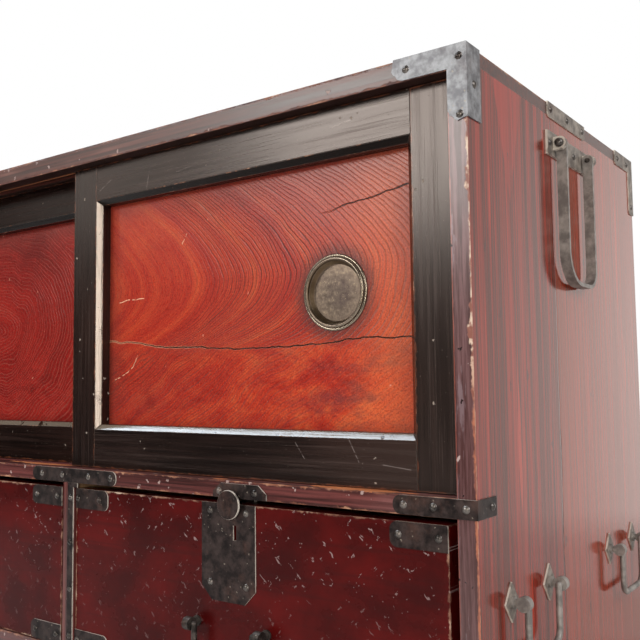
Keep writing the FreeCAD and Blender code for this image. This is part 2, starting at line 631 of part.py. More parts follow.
def finger_pull(x, z, panel_y):
    """A turned metal cup with a rolled rim, let into the panel."""
    rim_r = PULL_RIM_D / 2
    cup_r = PULL_CUP_D / 2
    groove_r = rim_r - PULL_BEAD_W
    floor_r = cup_r - PULL_WALL_IN
    back = PANEL_T - PULL_FLOAT
    bottom = back - PULL_SHEET_T
    wall_r = cup_r + PULL_SHEET_T
    # (radius, depth behind the panel's face) of the section's corners, from the rim's foot
    foot = Vector(rim_r, 0, 0)
    bead_top = Vector(rim_r - PULL_BEAD_W / 2, -PULL_BEAD_H, 0)
    groove = Vector(groove_r, -PULL_GROOVE_H, 0)
    lip_top = Vector((groove_r + cup_r) / 2, -PULL_LIP_H, 0)
    lip_foot = Vector(cup_r, 0, 0)
    rest = [(floor_r, bottom - PULL_WALL_ROUND), (floor_r - PULL_WALL_ROUND, bottom), (0, bottom),
            (0, back), (floor_r, back), (wall_r, PULL_WALL_ROUND), (wall_r, 0)]
    corners = [lip_foot] + [Vector(r, depth, 0) for r, depth in rest] + [foot]
    edges = [Part.Arc(foot, bead_top, groove).toShape(), Part.Arc(groove, lip_top, lip_foot).toShape()]
    edges += [Part.LineSegment(a, b).toShape() for a, b in zip(corners, corners[1:])]
    cup = Part.Face(Part.Wire(edges)).revolve(Vector(0, 0, 0), Vector(0, 1, 0), 360)
    cup.translate(Vector(x, panel_y, z))
    return cup


def sliding_door(side):
    """Pieces of one door, built on the right and mirrored for the left."""
    face_y = DOOR_FACE_Y[side]
    ring = door_ring(face_y)
    tenons = rail_tenons(face_y)
    zones = [stile_zone(DOOR_MEETING_X, OPEN_X0, face_y), stile_zone(DOOR_OUTER_X, OPEN_X1, face_y)]
    stiles = [ring.common(zone).cut(tenons) for zone in zones]
    rails = ring.cut(zones).fuse(tenons).removeSplitter().Solids
    (x0, z0), _, (x1, z1), _ = inset_corners(PANEL_LAP - BEVEL)
    panel_y = face_y + PANEL_DEPTH
    hole_r = PULL_CUP_D / 2 + PULL_SHEET_T + PULL_FIT
    panel = box(x0, x1, panel_y, panel_y + PANEL_T, z0, z1)
    panel = panel.cut(rod((PULL_X, panel_y, PULL_Z), (0, 1, 0), hole_r, PANEL_T))
    pieces = {
        "meeting_stile": [stiles[0]],
        "outer_stile": [stiles[1]],
        "rails": rails,
        "panel": [panel],
        "finger_pull": [finger_pull(PULL_X, PULL_Z, panel_y)],
    }
    if side == "left":
        pieces = {name: [mirrored(s) for s in solids] for name, solids in pieces.items()}
    return {f"{side}_door_{name}": solids for name, solids in pieces.items()}


# ---------------------------------------------------------------- round-bar bail handles
def bail_posts(spacing, through, plate_t):
    """Two eye posts; local frame: x along the pair, -y outwards, mounting face at y = 0."""
    posts = []
    for x in (-spacing / 2, spacing / 2):
        shank = rod((x, -POST_OUT, 0), (0, 1, 0), POST_R, POST_OUT + through)
        eye = rod((x - EYE_W / 2, -POST_OUT, 0), (1, 0, 0), EYE_R, EYE_W)
        collar = rod((x, -plate_t - POST_COLLAR_T, 0), (0, 1, 0), POST_COLLAR_R, POST_COLLAR_T)
        clench = rod((x, through, 0), (0, 1, 0), POST_CLENCH_R, POST_CLENCH_T)
        post = shank.fuse([eye, collar, clench]).removeSplitter()
        hole = rod((x - EYE_W, -POST_OUT, 0), (1, 0, 0), BAIL_PIN_R + PIN_PLAY, 2 * EYE_W)
        posts.append(post.cut(hole))
    return posts


def bar_bail(spacing, drop):
    """The hanging bail between two posts, with pins that turn in their eyes."""
    leg_x = spacing / 2 - EYE_W / 2 - LUG_SIDE_PLAY - BAR_R
    bottom = BAR_R - drop
    route = [(-leg_x, -POST_OUT, 0), (-leg_x, -POST_OUT, bottom),
             (leg_x, -POST_OUT, bottom), (leg_x, -POST_OUT, 0)]
    bar = bent_bar(route, BAIL_BEND_R, BAR_R)
    pin_l = BAR_R + LUG_SIDE_PLAY + EYE_W
    ends = []
    for way in (-1, 1):
        ends.append(Part.makeSphere(BAR_R, Vector(way * leg_x, -POST_OUT, 0)))
        ends.append(rod((way * leg_x, -POST_OUT, 0), (way, 0, 0), BAIL_PIN_R, pin_l))
    return bar.fuse(ends).removeSplitter()


def post_holes(spacing, depth):
    return [rod((x, 0, 0), (0, 1, 0), POST_R, depth) for x in (-spacing / 2, spacing / 2)]


def onto_drawer(shape, x, z):
    moved = shape.copy()
    moved.translate(Vector(x, DRAWER_FACE, z))
    return moved


def onto_side(shape, y, z):
    """Turn a handle piece to face +X and seat it on the right side at depth y."""
    turned = shape.copy()
    turned.Placement = FreeCAD.Placement(Vector(HALF_W, y, z), Rotation(Vector(0, 0, 1), 90))
    return turned


# ---------------------------------------------------------------- handles on the case
def lift_plate(x):
    """A diamond plate under one post, in the posts' local frame."""
    outline = [(x - LIFT_PLATE_HALF_W, 0), (x, -LIFT_PLATE_HALF),
               (x + LIFT_PLATE_HALF_W, 0), (x, LIFT_PLATE_HALF)]
    plate = plate_xz(outline, 0, LIFT_PLATE_T)
    return plate.cut(rod((x, -LIFT_PLATE_T, 0), (0, 1, 0), POST_R, LIFT_PLATE_T))


def lift_handles():
    """Plates, posts, bails and board holes of the two low handles on the right side."""
    z = CASE_HEIGHT - LIFT_FROM_TOP
    plates, posts, bails, holes = [], [], {}, []
    for name, y in (("front", -LIFT_Y), ("rear", LIFT_Y)):
        plates += [onto_side(lift_plate(x), y, z) for x in (-LIFT_SPACING / 2, LIFT_SPACING / 2)]
        posts += [onto_side(p, y, z) for p in bail_posts(LIFT_SPACING, SIDE_T, LIFT_PLATE_T)]
        bails[name] = onto_side(bar_bail(LIFT_SPACING, LIFT_DROP), y, z)
        holes += [onto_side(h, y, z) for h in post_holes(LIFT_SPACING, SIDE_T)]
    return plates, posts, bails, holes


CARRY_X = HALF_W + CARRY_AXIS_OUT
CARRY_Z = CASE_HEIGHT - CARRY_AXIS_FROM_TOP
CARRY_LEG_OUT = CARRY_BAIL_OUTSIDE / 2


def carry_plate():
    """The plate of the right carrying handle with its two lugs."""
    half = CARRY_PLATE_L / 2
    z1 = CASE_HEIGHT - CARRY_PLATE_FROM_TOP
    face = HALF_W + CARRY_PLATE_T
    plate = box(HALF_W, face, -half, half, z1 - CARRY_PLATE_H, z1)
    parts = []
    for way in (-1, 1):
        y0 = way * (CARRY_LEG_OUT + LUG_SIDE_PLAY)
        y0, y1 = sorted((y0, y0 + way * CARRY_LUG_T))
        arm = box(HALF_W, CARRY_X, y0, y1, CARRY_Z - CARRY_LUG_R, CARRY_Z + CARRY_LUG_R)
        nose = rod((CARRY_X, y0, CARRY_Z), (0, 1, 0), CARRY_LUG_R, CARRY_LUG_T)
        parts += [arm, nose]
    whole = plate.fuse(parts).removeSplitter()
    bore = rod((CARRY_X, -half, CARRY_Z), (0, 1, 0), CARRY_PIN_R, 2 * half)
    return whole.cut(bore)


def carry_pins():
    """Two headed pins, each through a lug and an eye of the bail."""
    pins = []
    for way in (-1, 1):
        inner = way * (CARRY_LEG_OUT - CARRY_STRIP_T)
        outer = way * (CARRY_LEG_OUT + LUG_SIDE_PLAY + CARRY_LUG_T)
        shank = rod((CARRY_X, inner, CARRY_Z), (0, way, 0), CARRY_PIN_R, abs(outer - inner))
        ball = Part.makeSphere(CARRY_PIN_HEAD_R, Vector(CARRY_X, outer, CARRY_Z))
        keep = rod((CARRY_X, outer, CARRY_Z), (0, way, 0), CARRY_PIN_HEAD_R, CARRY_PIN_HEAD_R)
        pins.append(shank.fuse(ball.common(keep)).removeSplitter())
    return pins


def carry_bail():
    """A U bent from flat strip, its broad faces towards front and back."""
    x0 = CARRY_X - CARRY_STRIP_W / 2
    x1 = CARRY_X + CARRY_STRIP_W / 2
    out = CARRY_LEG_OUT
    inn = out - CARRY_STRIP_T
    low = CARRY_Z - CARRY_BAIL_DROP
    outer = box(x0, x1, -out, out, low, CARRY_Z)
    inner = box(x0, x1, -inn, inn, low + CARRY_STRIP_T, CARRY_Z)
    for bend_r, way in ((CARRY_BEND_R_FRONT, -1), (CARRY_BEND_R_REAR, 1)):
        outer = round_upright_edges(outer, (1, 0, 0), bend_r,
                                    lambda c: c.z < CARRY_Z and c.y * way > inn)
        inner = round_upright_edges(inner, (1, 0, 0), bend_r - CARRY_STRIP_T,
                                    lambda c: c.z < CARRY_Z and c.y * way > inn - SAME_PLACE)
    bail = outer.cut(inner)
    eyes = [rod((CARRY_X, y, CARRY_Z), (0, 1, 0), CARRY_EYE_R, CARRY_STRIP_T) for y in (-out, inn)]
    bail = bail.fuse(eyes).removeSplitter()
    bores = [rod((CARRY_X, y, CARRY_Z), (0, 1, 0), CARRY_PIN_R + PIN_PLAY, CARRY_STRIP_T)
             for y in (-out, inn)]
    return bail.cut(bores)


def carry_nail_places():
    """Nails of the right carrying handle's plate, one at each end beyond the lugs and two between."""
    x = HALF_W + CARRY_PLATE_T
    z = CASE_HEIGHT - CARRY_PLATE_FROM_TOP - CARRY_PLATE_H / 2
    end = CARRY_PLATE_L / 2 - CARRY_NAIL_END
    return [(x, y, z, (1, 0, 0)) for y in (-end, -CARRY_NAIL_INNER, CARRY_NAIL_INNER, end)]


# ---------------------------------------------------------------- drawers, built round x = 0
def drawer_plates():
    """Iron plates near the four corners of a drawer's front."""
    half = DRAWER_W / 2
    plates = []
    for way in (-1, 1):
        x0, x1 = sorted((way * half, way * (half - DRAWER_PLATE_L)))
        for z0 in (DRAWER_TOP - DRAWER_PLATE_H, DRAWER_BOTTOM):
            plate = box(x0, x1, LOCK_PLATE_FACE, DRAWER_FACE, z0, z0 + DRAWER_PLATE_H)
            plates.append(round_upright_edges(plate, (0, 1, 0), DRAWER_PLATE_H * ROUNDING_SHARE,
                                              lambda c: abs(c.x) < half - DRAWER_PLATE_L / 2))
    return plates


def drawer_nail_places():
    half = DRAWER_W / 2
    front = (0, -1, 0)
    places = []
    for way, from_end in ((-1, LEFT_PLATE_NAILS), (1, RIGHT_PLATE_NAILS)):
        for z in (DRAWER_TOP - DRAWER_PLATE_H / 2, DRAWER_BOTTOM + DRAWER_PLATE_H / 2):
            places += [(way * (half - s), LOCK_PLATE_FACE, z, front) for s in from_end]
        for z in (DRAWER_TOP - LOCK_NAIL_TOP, DRAWER_TOP - LOCK_PLATE_H + LOCK_NAIL_LOW):
            places.append((LOCK_PLATE_OFFSET + way * LOCK_NAIL_OUT, LOCK_PLATE_FACE, z, front))
    return places


def lock_slot(y0, y1):
    """The slot in which the bolt's shank rises."""
    half = SHANK_D / 2 + SHANK_PLAY
    return box(BOLT_OFFSET - half, BOLT_OFFSET + half, y0, y1,
               SHANK_Z - half, SHANK_Z + half + BOLT_TRAVEL)


def keyhole(y0, y1):
    x = BOLT_OFFSET + KEYHOLE_OFFSET
    z1 = DRAWER_TOP - KEYHOLE_FROM_TOP
    return box(x - KEYHOLE_W / 2, x + KEYHOLE_W / 2, y0, y1, z1 - KEYHOLE_H, z1)


def lock_plate():
    half = LOCK_PLATE_W / 2
    x = LOCK_PLATE_OFFSET
    z0 = DRAWER_TOP - LOCK_PLATE_H
    c = LOCK_PLATE_CHAMFER
    outline = [(x - half, DRAWER_TOP), (x - half, z0 + c), (x - half + c, z0), (x + half - c, z0),
               (x + half, z0 + c), (x + half, DRAWER_TOP)]
    plate = plate_xz(outline, DRAWER_FACE, IRON_T)
    return plate.cut([lock_slot(LOCK_PLATE_FACE, DRAWER_FACE), keyhole(LOCK_PLATE_FACE, DRAWER_FACE)])


def lock_bolt():
    """Disc outside, shank through the front, tongue plate inside: one sliding piece."""
    disc_face = DISC_BACK - DISC_T
    disc = rod((BOLT_OFFSET, disc_face, DISC_Z), (0, 1, 0), DISC_D / 2, DISC_T)
    rim = [e for e in disc.Edges if abs(e.CenterOfMass.y - disc_face) < SAME_PLACE]
    disc = disc.makeFillet(DISC_ROUND, rim)
    shank = rod((BOLT_OFFSET, DISC_BACK, SHANK_Z), (0, 1, 0), SHANK_D / 2, TONGUE_PLATE_Y - DISC_BACK)
    tongue = box(BOLT_OFFSET - TONGUE_PLATE_W / 2, BOLT_OFFSET + TONGUE_PLATE_W / 2,
                 TONGUE_PLATE_Y, TONGUE_PLATE_Y + TONGUE_PLATE_T, TONGUE_FOOT, TONGUE_TIP)
    return disc.fuse([shank, tongue]).removeSplitter()


def lock_case():
    """The iron case behind the front, with the channel in which the tongue slides."""
    half = LOCK_CASE_W / 2
    case = box(BOLT_OFFSET - half, BOLT_OFFSET + half, DRAWER_INNER, DRAWER_INNER + LOCK_CASE_T,
               TONGUE_FOOT - LOCK_CASE_FOOT, DRAWER_TOP - DRAWER_BOX_DROP)
    p = LOCK_CASE_PLAY
    channel = box(BOLT_OFFSET - TONGUE_PLATE_W / 2 - p, BOLT_OFFSET + TONGUE_PLATE_W / 2 + p,
                  TONGUE_PLATE_Y - p, TONGUE_PLATE_Y + TONGUE_PLATE_T + p,
                  TONGUE_FOOT - p, DRAWER_TOP)
    y = TONGUE_PLATE_Y
    return case.cut([channel, lock_slot(DRAWER_INNER, y), keyhole(DRAWER_INNER, y)])


def drawer(side):
    """All pieces of one drawer, moved to its bay."""
    x = DRAWER_CENTER_X[side]
    half = DRAWER_W / 2
    box_top = DRAWER_TOP - DRAWER_BOX_DROP
    box_low = BOTTOM_T + DRAWER_SIDE_LIFT
    back_y = DRAWER_END - DRAWER_SIDE_T
    floor_z = box_low + DRAWER_FLOOR_LIFT
    nails = drawer_nail_places()
    holes = [nail_hole(*place) for place in nails]
    bail_z = DRAWER_TOP - DRAWER_BAIL_FROM_TOP
    posts = [onto_drawer(p, 0, bail_z) for p in bail_posts(DRAWER_BAIL_SPACING, DRAWER_FRONT_T, 0)]
    front = box(-half, half, DRAWER_FACE, DRAWER_INNER, DRAWER_BOTTOM, DRAWER_TOP)
    cuts = [onto_drawer(h, 0, bail_z) for h in post_holes(DRAWER_BAIL_SPACING, DRAWER_FRONT_T)]
    cuts += [lock_slot(DRAWER_FACE, DRAWER_INNER), keyhole(DRAWER_FACE, DRAWER_INNER)]
    sides = pair(box(half - DRAWER_SIDE_T, half, DRAWER_INNER, DRAWER_END, box_low, box_top))
    inner = half - DRAWER_SIDE_T
    back = box(-inner, inner, back_y, DRAWER_END, box_low, box_top)
    pieces = {
        "front": [drill(front.cut(cuts), holes)],
        "box": sides + [back],
        "floor": [box(-inner, inner, DRAWER_INNER, back_y, floor_z, floor_z + DRAWER_FLOOR_T)],
        "corner_plates": [drill(plate, holes) for plate in drawer_plates()],
        "lock_plate": [drill(lock_plate(), holes)],
        "lock_case": [lock_case()],
        "lock_bolt": [lock_bolt()],
        "nails": [nail(*place) for place in nails],
        "pull_posts": posts,
        "pull_bail": [onto_drawer(bar_bail(DRAWER_BAIL_SPACING, DRAWER_BAIL_DROP), 0, bail_z)],
    }
    for solids in pieces.values():
        for solid in solids:
            solid.translate(Vector(x, 0, 0))
    return {f"{side}_drawer_{name}": solids for name, solids in pieces.items()}


# ---------------------------------------------------------------- the whole chest
def chest():
    """Node name to its list of solids."""
    carry_nails = carry_nail_places()
    both_carry = carry_nails + [(-x, y, z, (-1, 0, 0)) for x, y, z, _ in carry_nails]
    places = case_nail_places() + both_carry
    holes = [nail_hole(*place) for place in places]
    lift_plates, lift_posts, lift_bails, lift_holes = lift_handles()
    side = side_board(lift_holes)
    plates = {
        "front_corner_plates": pair(front_corner_plate()),
        "rear_corner_brackets": pair(rear_corner_bracket()),
        "side_top_straps": pair(side_top_strap()),
        "rail_corner_straps": pair(rail_corner_strap()),
        "rail_center_strap": [rail_center_strap()],
        "strike_plates": [strike_plate(x) for x in DRAWER_CENTER_X.values()],
        "divider_strip": [divider_strip()],
        "base_corner_plates": pair(base_corner_plate()),
        "carry_handle_plates": pair(carry_plate()),
    }
    boards = {
        "side_board_left": [mirrored(side)],
        "side_board_right": [side],
        "top_board": [top_board()],
        "bottom_board": [box(-INNER_X, INNER_X, FRONT + BASE_RAIL_DEPTH, BACK_FACE, 0, BOTTOM_T)],
        "base_rail": [box(-INNER_X, INNER_X, FRONT, FRONT + BASE_RAIL_DEPTH, 0, BOTTOM_T)],
        "upper_rail": [upper_rail()],
        "cupboard_floor": [box(-INNER_X, INNER_X, FRONT + RAIL_DEPTH, BACK_FACE, FLOOR_UNDER, RAIL_TOP)],
        "drawer_divider": [drawer_divider()],
    }
    drilled = {name: [drill(s, holes) for s in solids] for name, solids in {**boards, **plates}.items()}
    nodes = {
        **drilled,
        "back_boards": back_boards(),
        "drawer_guides": drawer_guides(),
        "drawer_stops": drawer_stops(),
        "case_nails": [nail(*place) for place in places],
        "carry_handle_pins": [p for pin in carry_pins() for p in pair(pin)],
        "carry_bail_right": [carry_bail()],
        "carry_bail_left": [mirrored(carry_bail())],
        "lift_handle_plates": [p for plate in lift_plates for p in pair(plate)],
        "lift_handle_posts": [p for post in lift_posts for p in pair(post)],
    }
    for place, bail in lift_bails.items():
        nodes[f"lift_bail_right_{place}"] = [bail]
        nodes[f"lift_bail_left_{place}"] = [mirrored(bail)]
    for name in ("left", "right"):
        nodes.update(sliding_door(name))
        nodes.update(drawer(name))
    return nodes


def export(nodes):
    os.makedirs("parts", exist_ok=True)
    for name, solids in nodes.items():
        shape = solids[0] if len(solids) == 1 else Part.makeCompound(solids)
        shape.exportStep(f"parts/{name}.step")


export(chest())
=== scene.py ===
"""Looks of the small tansu chest: materials, worn edges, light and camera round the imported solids."""

import math

import bpy
from mathutils import Euler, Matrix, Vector


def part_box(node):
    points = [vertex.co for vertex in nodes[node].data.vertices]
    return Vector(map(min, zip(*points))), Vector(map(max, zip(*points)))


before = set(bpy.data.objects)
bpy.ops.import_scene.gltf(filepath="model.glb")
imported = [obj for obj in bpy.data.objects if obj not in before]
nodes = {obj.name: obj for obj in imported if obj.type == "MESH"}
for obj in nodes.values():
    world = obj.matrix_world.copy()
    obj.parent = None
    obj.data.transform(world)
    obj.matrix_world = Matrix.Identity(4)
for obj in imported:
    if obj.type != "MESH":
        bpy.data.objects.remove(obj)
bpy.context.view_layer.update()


def block(name):
    """A node's lowest and highest corners, at rest."""
    lo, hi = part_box(name)
    return tuple(lo), tuple(hi)


def middle(name):
    """The middle of a node's box."""
    return tuple((a + b) / 2 for a, b in zip(*block(name)))


# ---------------------------------------------------------------- places
SIGN = {"left": -1, "right": 1}
STILES = ("meeting_stile", "outer_stile")

# Lengths are in metres, in the part's frame: X to the right, Y to the rear, Z up.
# X of the right side board's inner face, Y of its front edge and X of its outer face.
(INNER_X, FRONT, _), (HALF_W, _, _) = block("side_board_right")
OPEN_X = (0.0226, 0.3996)          # opening in the right door's frame; the left door's mirrors it
OPEN_TOP = 0.4753                  # Z of the opening's upper edge
SHOULDER_Z = (0.1988, 0.5123)      # lower and upper end of a door's frame, without its tongues
PULL_X, _, PULL_Z = middle("right_door_finger_pull")
TOP_GROOVE_Y = -0.1932             # bare line under the top board, along the front door's groove

# On the sides, as (y, z).
FLAME = (-0.1375, 0.420)           # point of a flame of red grain
TONGUE = (-0.1319, 0.2448)         # middle of a long tongue of pale red grain below it
TONGUE_HALF = 0.072                # half its height
TONGUE_LEAN = 0.0280               # its run to the front for each metre of rise
PLANK_JOINT_Y = -0.0415            # joint of the side's two planks

# On the doors' panels, as (x, z).
ARCH_Z = 0.379                     # height at which the right panel's arches reach farthest
ARCH_RINGS = 165.0                 # so many to a metre
STREAK_SLOPE = 0.72                # of the streaks under the right panel's main crack
STREAK_GAP = 0.0072                # from one of them up to the next
EDDY = (-0.2067, 0.352)            # middle of the left panel's rings
EDDY_GAP = 0.0046                  # from ring to ring
MAIN_CRACK = ((0.020, 0.3272), (0.0309, 0.3272), (0.075, 0.3245), (0.110, 0.3185), (0.1578, 0.3175),
              (0.205, 0.3140), (0.2554, 0.3140), (0.3096, 0.3155), (0.350, 0.3190), (0.402, 0.3180))
UPPER_CRACK = ((0.288, 0.4235), (0.3061, 0.4281), (0.350, 0.4345), (0.402, 0.4430))
# Each scratch with half the width of its core and its strength.
PANEL_SCRATCHES = ((((0.0399, 0.3675), (0.060, 0.3690), (0.0795, 0.3699)), 0.0002, 0.9),
                   (((0.070, 0.3120), (0.064, 0.3010), (0.050, 0.2920), (0.036, 0.2880)), 0.0001, 0.8),
                   (((0.1335, 0.4190), (0.1395, 0.4290)), 0.0001, 0.7))

# On the right door's rails, as (x, z).
RAIL_SCRATCHES = (((0.0265, 0.4841), (0.0454, 0.4939)), ((0.0990, 0.4769), (0.1028, 0.4935)),
                  ((0.2832, 0.2322), (0.2926, 0.2191)), ((0.3377, 0.2360), (0.3470, 0.2186)),
                  ((0.3693, 0.2176), (0.3942, 0.2150)), ((0.1405, 0.4869), (0.1699, 0.4908)),
                  ((0.3230, 0.4948), (0.3452, 0.4980)))

# Streaks of bare wood on the upper rail's top face: start and end in X, middle in Y, half the width.
BARE_STREAKS = ((0.302, 0.402, -0.2035, 0.0085), (0.192, 0.216, -0.2055, 0.0040),
                (-0.130, 0.012, -0.1945, 0.0070))

# The camera, worked out from the photograph's vanishing points.
CAMERA_PLACE = (0.7132, -0.7543, 0.2814)
CAMERA_TURN = (1.647561, 0.011729, 0.628557)
CAMERA_LENS = 46.53                # millimetres, for a sensor 36 mm wide


def rgb(r, g, b):
    """A display colour of 0 to 255 as linear values with alpha."""
    def lin(v):
        v /= 255
        return v / 12.92 if v <= 0.04045 else ((v + 0.055) / 1.055) ** 2.4
    return (lin(r), lin(g), lin(b), 1.0)


# ---------------------------------------------------------------- node helpers
class Nodes:
    """Short calls for the nodes of one tree; a value is a number, a vector, a colour or a socket."""

    def __init__(self, tree):
        self.tree = tree
        tree.nodes.clear()

    def add(self, kind, **props):
        node = self.tree.nodes.new(kind)
        for key, value in props.items():
            setattr(node, key, value)
        return node

    def feed(self, socket, value):
        """Link a socket to another one, or give it a constant."""
        if isinstance(value, bpy.types.NodeSocket):
            self.tree.links.new(value, socket)
        else:
            socket.default_value = value

    def math(self, op, a, b=0.0, clamp=False):
        node = self.add("ShaderNodeMath", operation=op, use_clamp=clamp)
        self.feed(node.inputs[0], a)
        self.feed(node.inputs[1], b)
        return node.outputs[0]

    def chain(self, op, values):
        """One operation through all the values, from the first on."""
        total, *others = values
        for value in others:
            total = self.math(op, total, value)
        return total

    def plus(self, *values):
        return self.chain("ADD", values)

    def times(self, *values):
        return self.chain("MULTIPLY", values)

    def most(self, *values):
        return self.chain("MAXIMUM", values)

    def least(self, *values):
        return self.chain("MINIMUM", values)

    def minus(self, a, b):
        return self.math("SUBTRACT", a, b)

    def over(self, a, b):
        return self.math("DIVIDE", a, b)

    def fract(self, value):
        return self.math("FRACT", value)

    def size(self, value):
        return self.math("ABSOLUTE", value)

    def off(self, value, middle):
        """How far a value is from a middle, on either side of it."""
        return self.size(self.minus(value, middle))

    def vec(self, op, a, b=(0, 0, 0)):
        node = self.add("ShaderNodeVectorMath", operation=op)
        self.feed(node.inputs[0], a)
        self.feed(node.inputs["Scale"] if op == "SCALE" else node.inputs[1], b)
        return node.outputs["Value" if op in ("LENGTH", "DOT_PRODUCT", "DISTANCE") else "Vector"]

    def split(self, vector):
        node = self.add("ShaderNodeSeparateXYZ")
        self.feed(node.inputs[0], vector)
        return node.outputs

    def join(self, x, y, z):
        node = self.add("ShaderNodeCombineXYZ")
        for socket, value in zip(node.inputs, (x, y, z)):
            self.feed(socket, value)
        return node.outputs[0]

    def blend(self, kind, first, fac, a, b):
        """A mix node; first is the place of its input A among the inputs."""
        node = self.add("ShaderNodeMix", data_type=kind)
        self.feed(node.inputs["Factor"], fac)
        self.feed(node.inputs[first], a)
        self.feed(node.inputs[first + 1], b)
        return node

    def mix(self, fac, a, b):
        """From colour a to colour b as fac goes from 0 to 1."""
        return self.blend("RGBA", 6, fac, a, b).outputs[2]

    def lerp(self, fac, a, b):
        """From number a to number b as fac goes from 0 to 1."""
        return self.blend("FLOAT", 2, fac, a, b).outputs[0]

    def step(self, value, low, high, a=0.0, b=1.0, shape="SMOOTHSTEP"):
        """Change from a to b as value goes from low to high."""
        node = self.add("ShaderNodeMapRange", interpolation_type=shape)
        for socket, v in zip(node.inputs, (value, low, high, a, b)):
            self.feed(socket, v)
        return node.outputs[0]

    def band(self, value, rise, fall):
        """One from the end of the rise to the start of the fall, and nothing outside the two."""
        return self.times(self.step(value, *rise), self.step(value, *fall, 1.0, 0.0))


class Shader(Nodes):
    """One material, its patterns placed by the part's own coordinates in metres."""

    def __init__(self, name):
        self.mat = bpy.data.materials.new(name)
        self.mat.use_nodes = True
        super().__init__(self.mat.node_tree)
        out = self.add("ShaderNodeOutputMaterial")
        self.bsdf = self.add("ShaderNodeBsdfPrincipled")
        self.feed(out.inputs["Surface"], self.bsdf.outputs["BSDF"])
        self.place = self.add("ShaderNodeTexCoord").outputs["Object"]
        self.x, self.y, self.z = self.split(self.place)

    def set(self, **values):
        """Feed the shader's inputs, with underscores for the spaces in their names."""
        for key, value in values.items():
            self.feed(self.bsdf.inputs[key.replace("_", " ")], value)

    def facing(self):
        """X, Y and Z of the surface's own direction."""
        return self.split(self.add("ShaderNodeNewGeometry").outputs["Normal"])

    def stretched(self, place, stretch, shift):
        """A place (this material's own if None), stretched along the axes and then shifted."""
        v = self.vec("MULTIPLY", self.place if place is None else place, stretch)
        return self.vec("ADD", v, shift) if any(shift) else v

    def noise(self, scale, stretch=(1, 1, 1), detail=3.0, rough=0.55, warp=0.0, place=None, shift=0.0):
        """Noise of so many features a metre, squeezed along each axis by stretch."""
        node = self.add("ShaderNodeTexNoise")
        v = self.stretched(place, stretch, (shift, shift * 0.7, -shift))
        for key, value in (("Vector", v), ("Scale", scale), ("Detail", detail),
                           ("Roughness", rough), ("Distortion", warp)):
            self.feed(node.inputs[key], value)
        return node.outputs[0]

    def specks(self, scale, size, share, stretch=(1, 1, 1), warp=0.0, shift=0.0, place=None):
        """Small separate marks: a share of the cells of a grid, each filled to a size."""
        v = self.stretched(place, stretch, (shift, -shift, shift * 0.3))
        if warp:
            wobble = self.add("ShaderNodeTexNoise")
            self.feed(wobble.inputs["Vector"], v)
            self.feed(wobble.inputs["Scale"], scale * 2.0)
            v = self.vec("ADD", v, self.vec("SCALE", wobble.outputs["Color"], warp / scale))
        cell = self.add("ShaderNodeTexVoronoi")
        self.feed(cell.inputs["Vector"], v)
        self.feed(cell.inputs["Scale"], scale)
        pick = self.split(cell.outputs["Color"])
        reach = self.times(pick[1], size)
        inside = self.step(cell.outputs["Distance"], self.times(reach, 0.6), reach, 1.0, 0.0)
        return self.times(inside, self.math("LESS_THAN", pick[0], share))

    def wobbled(self, scale, amount, detail=2.0):
        """The place, pushed about by noise, by half the amount at most each way."""
        node = self.add("ShaderNodeTexNoise")
        self.feed(node.inputs["Vector"], self.place)
        self.feed(node.inputs["Scale"], scale)
        self.feed(node.inputs["Detail"], detail)
        push = self.vec("SUBTRACT", node.outputs["Color"], (0.5, 0.5, 0.5))
        return self.vec("ADD", self.place, self.vec("SCALE", push, amount))

    def ramp(self, fac, stops):
        """Colours along fac, as (position, colour)."""
        node = self.add("ShaderNodeValToRGB")
        self.feed(node.inputs[0], fac)
        elements = node.color_ramp.elements
        while len(elements) < len(stops):
            elements.new(0.5)
        for element, (position, colour) in zip(elements, stops):
            element.position = position
            element.color = colour
        return node.outputs[0]

    def edge(self, lo, hi):
        """Distance to the nearest edge of a block, for a point on its surface: the middle of three depths."""
        depths = []
        for value, a, b in zip((self.x, self.y, self.z), lo, hi):
            depths.append(self.off((b - a) / 2, self.off(value, (a + b) / 2)))
        low = self.least(depths[0], depths[1])
        high = self.most(depths[0], depths[1])
        return self.most(low, self.least(high, depths[2]))

    def line(self, points, place=None):
        """Distance in the plane of X and Z to a broken line of (x, z) points."""
        flat = self.stretched(place, (1, 0, 1), (0, 0, 0))
        gaps = []
        for (ax, az), (bx, bz) in zip(points, points[1:]):
            run = (bx - ax, 0.0, bz - az)
            rel = self.vec("SUBTRACT", flat, (ax, 0.0, az))
            square = run[0] ** 2 + run[2] ** 2
            share = self.math("DIVIDE", self.vec("DOT_PRODUCT", rel, run), square, clamp=True)
            gaps.append(self.vec("LENGTH", self.vec("SUBTRACT", rel, self.vec("SCALE", run, share))))
        return self.least(*gaps)

    def bump(self, height, depth):
        node = self.add("ShaderNodeBump")
        self.feed(node.inputs["Strength"], 1.0)
        self.feed(node.inputs["Distance"], depth)
        self.feed(node.inputs["Height"], height)
        self.set(Normal=node.outputs[0])


def along(axis, squeeze):
    """Stretch for noise drawn out along an axis."""
    return tuple(squeeze if a == axis else 1.0 for a in "XYZ")


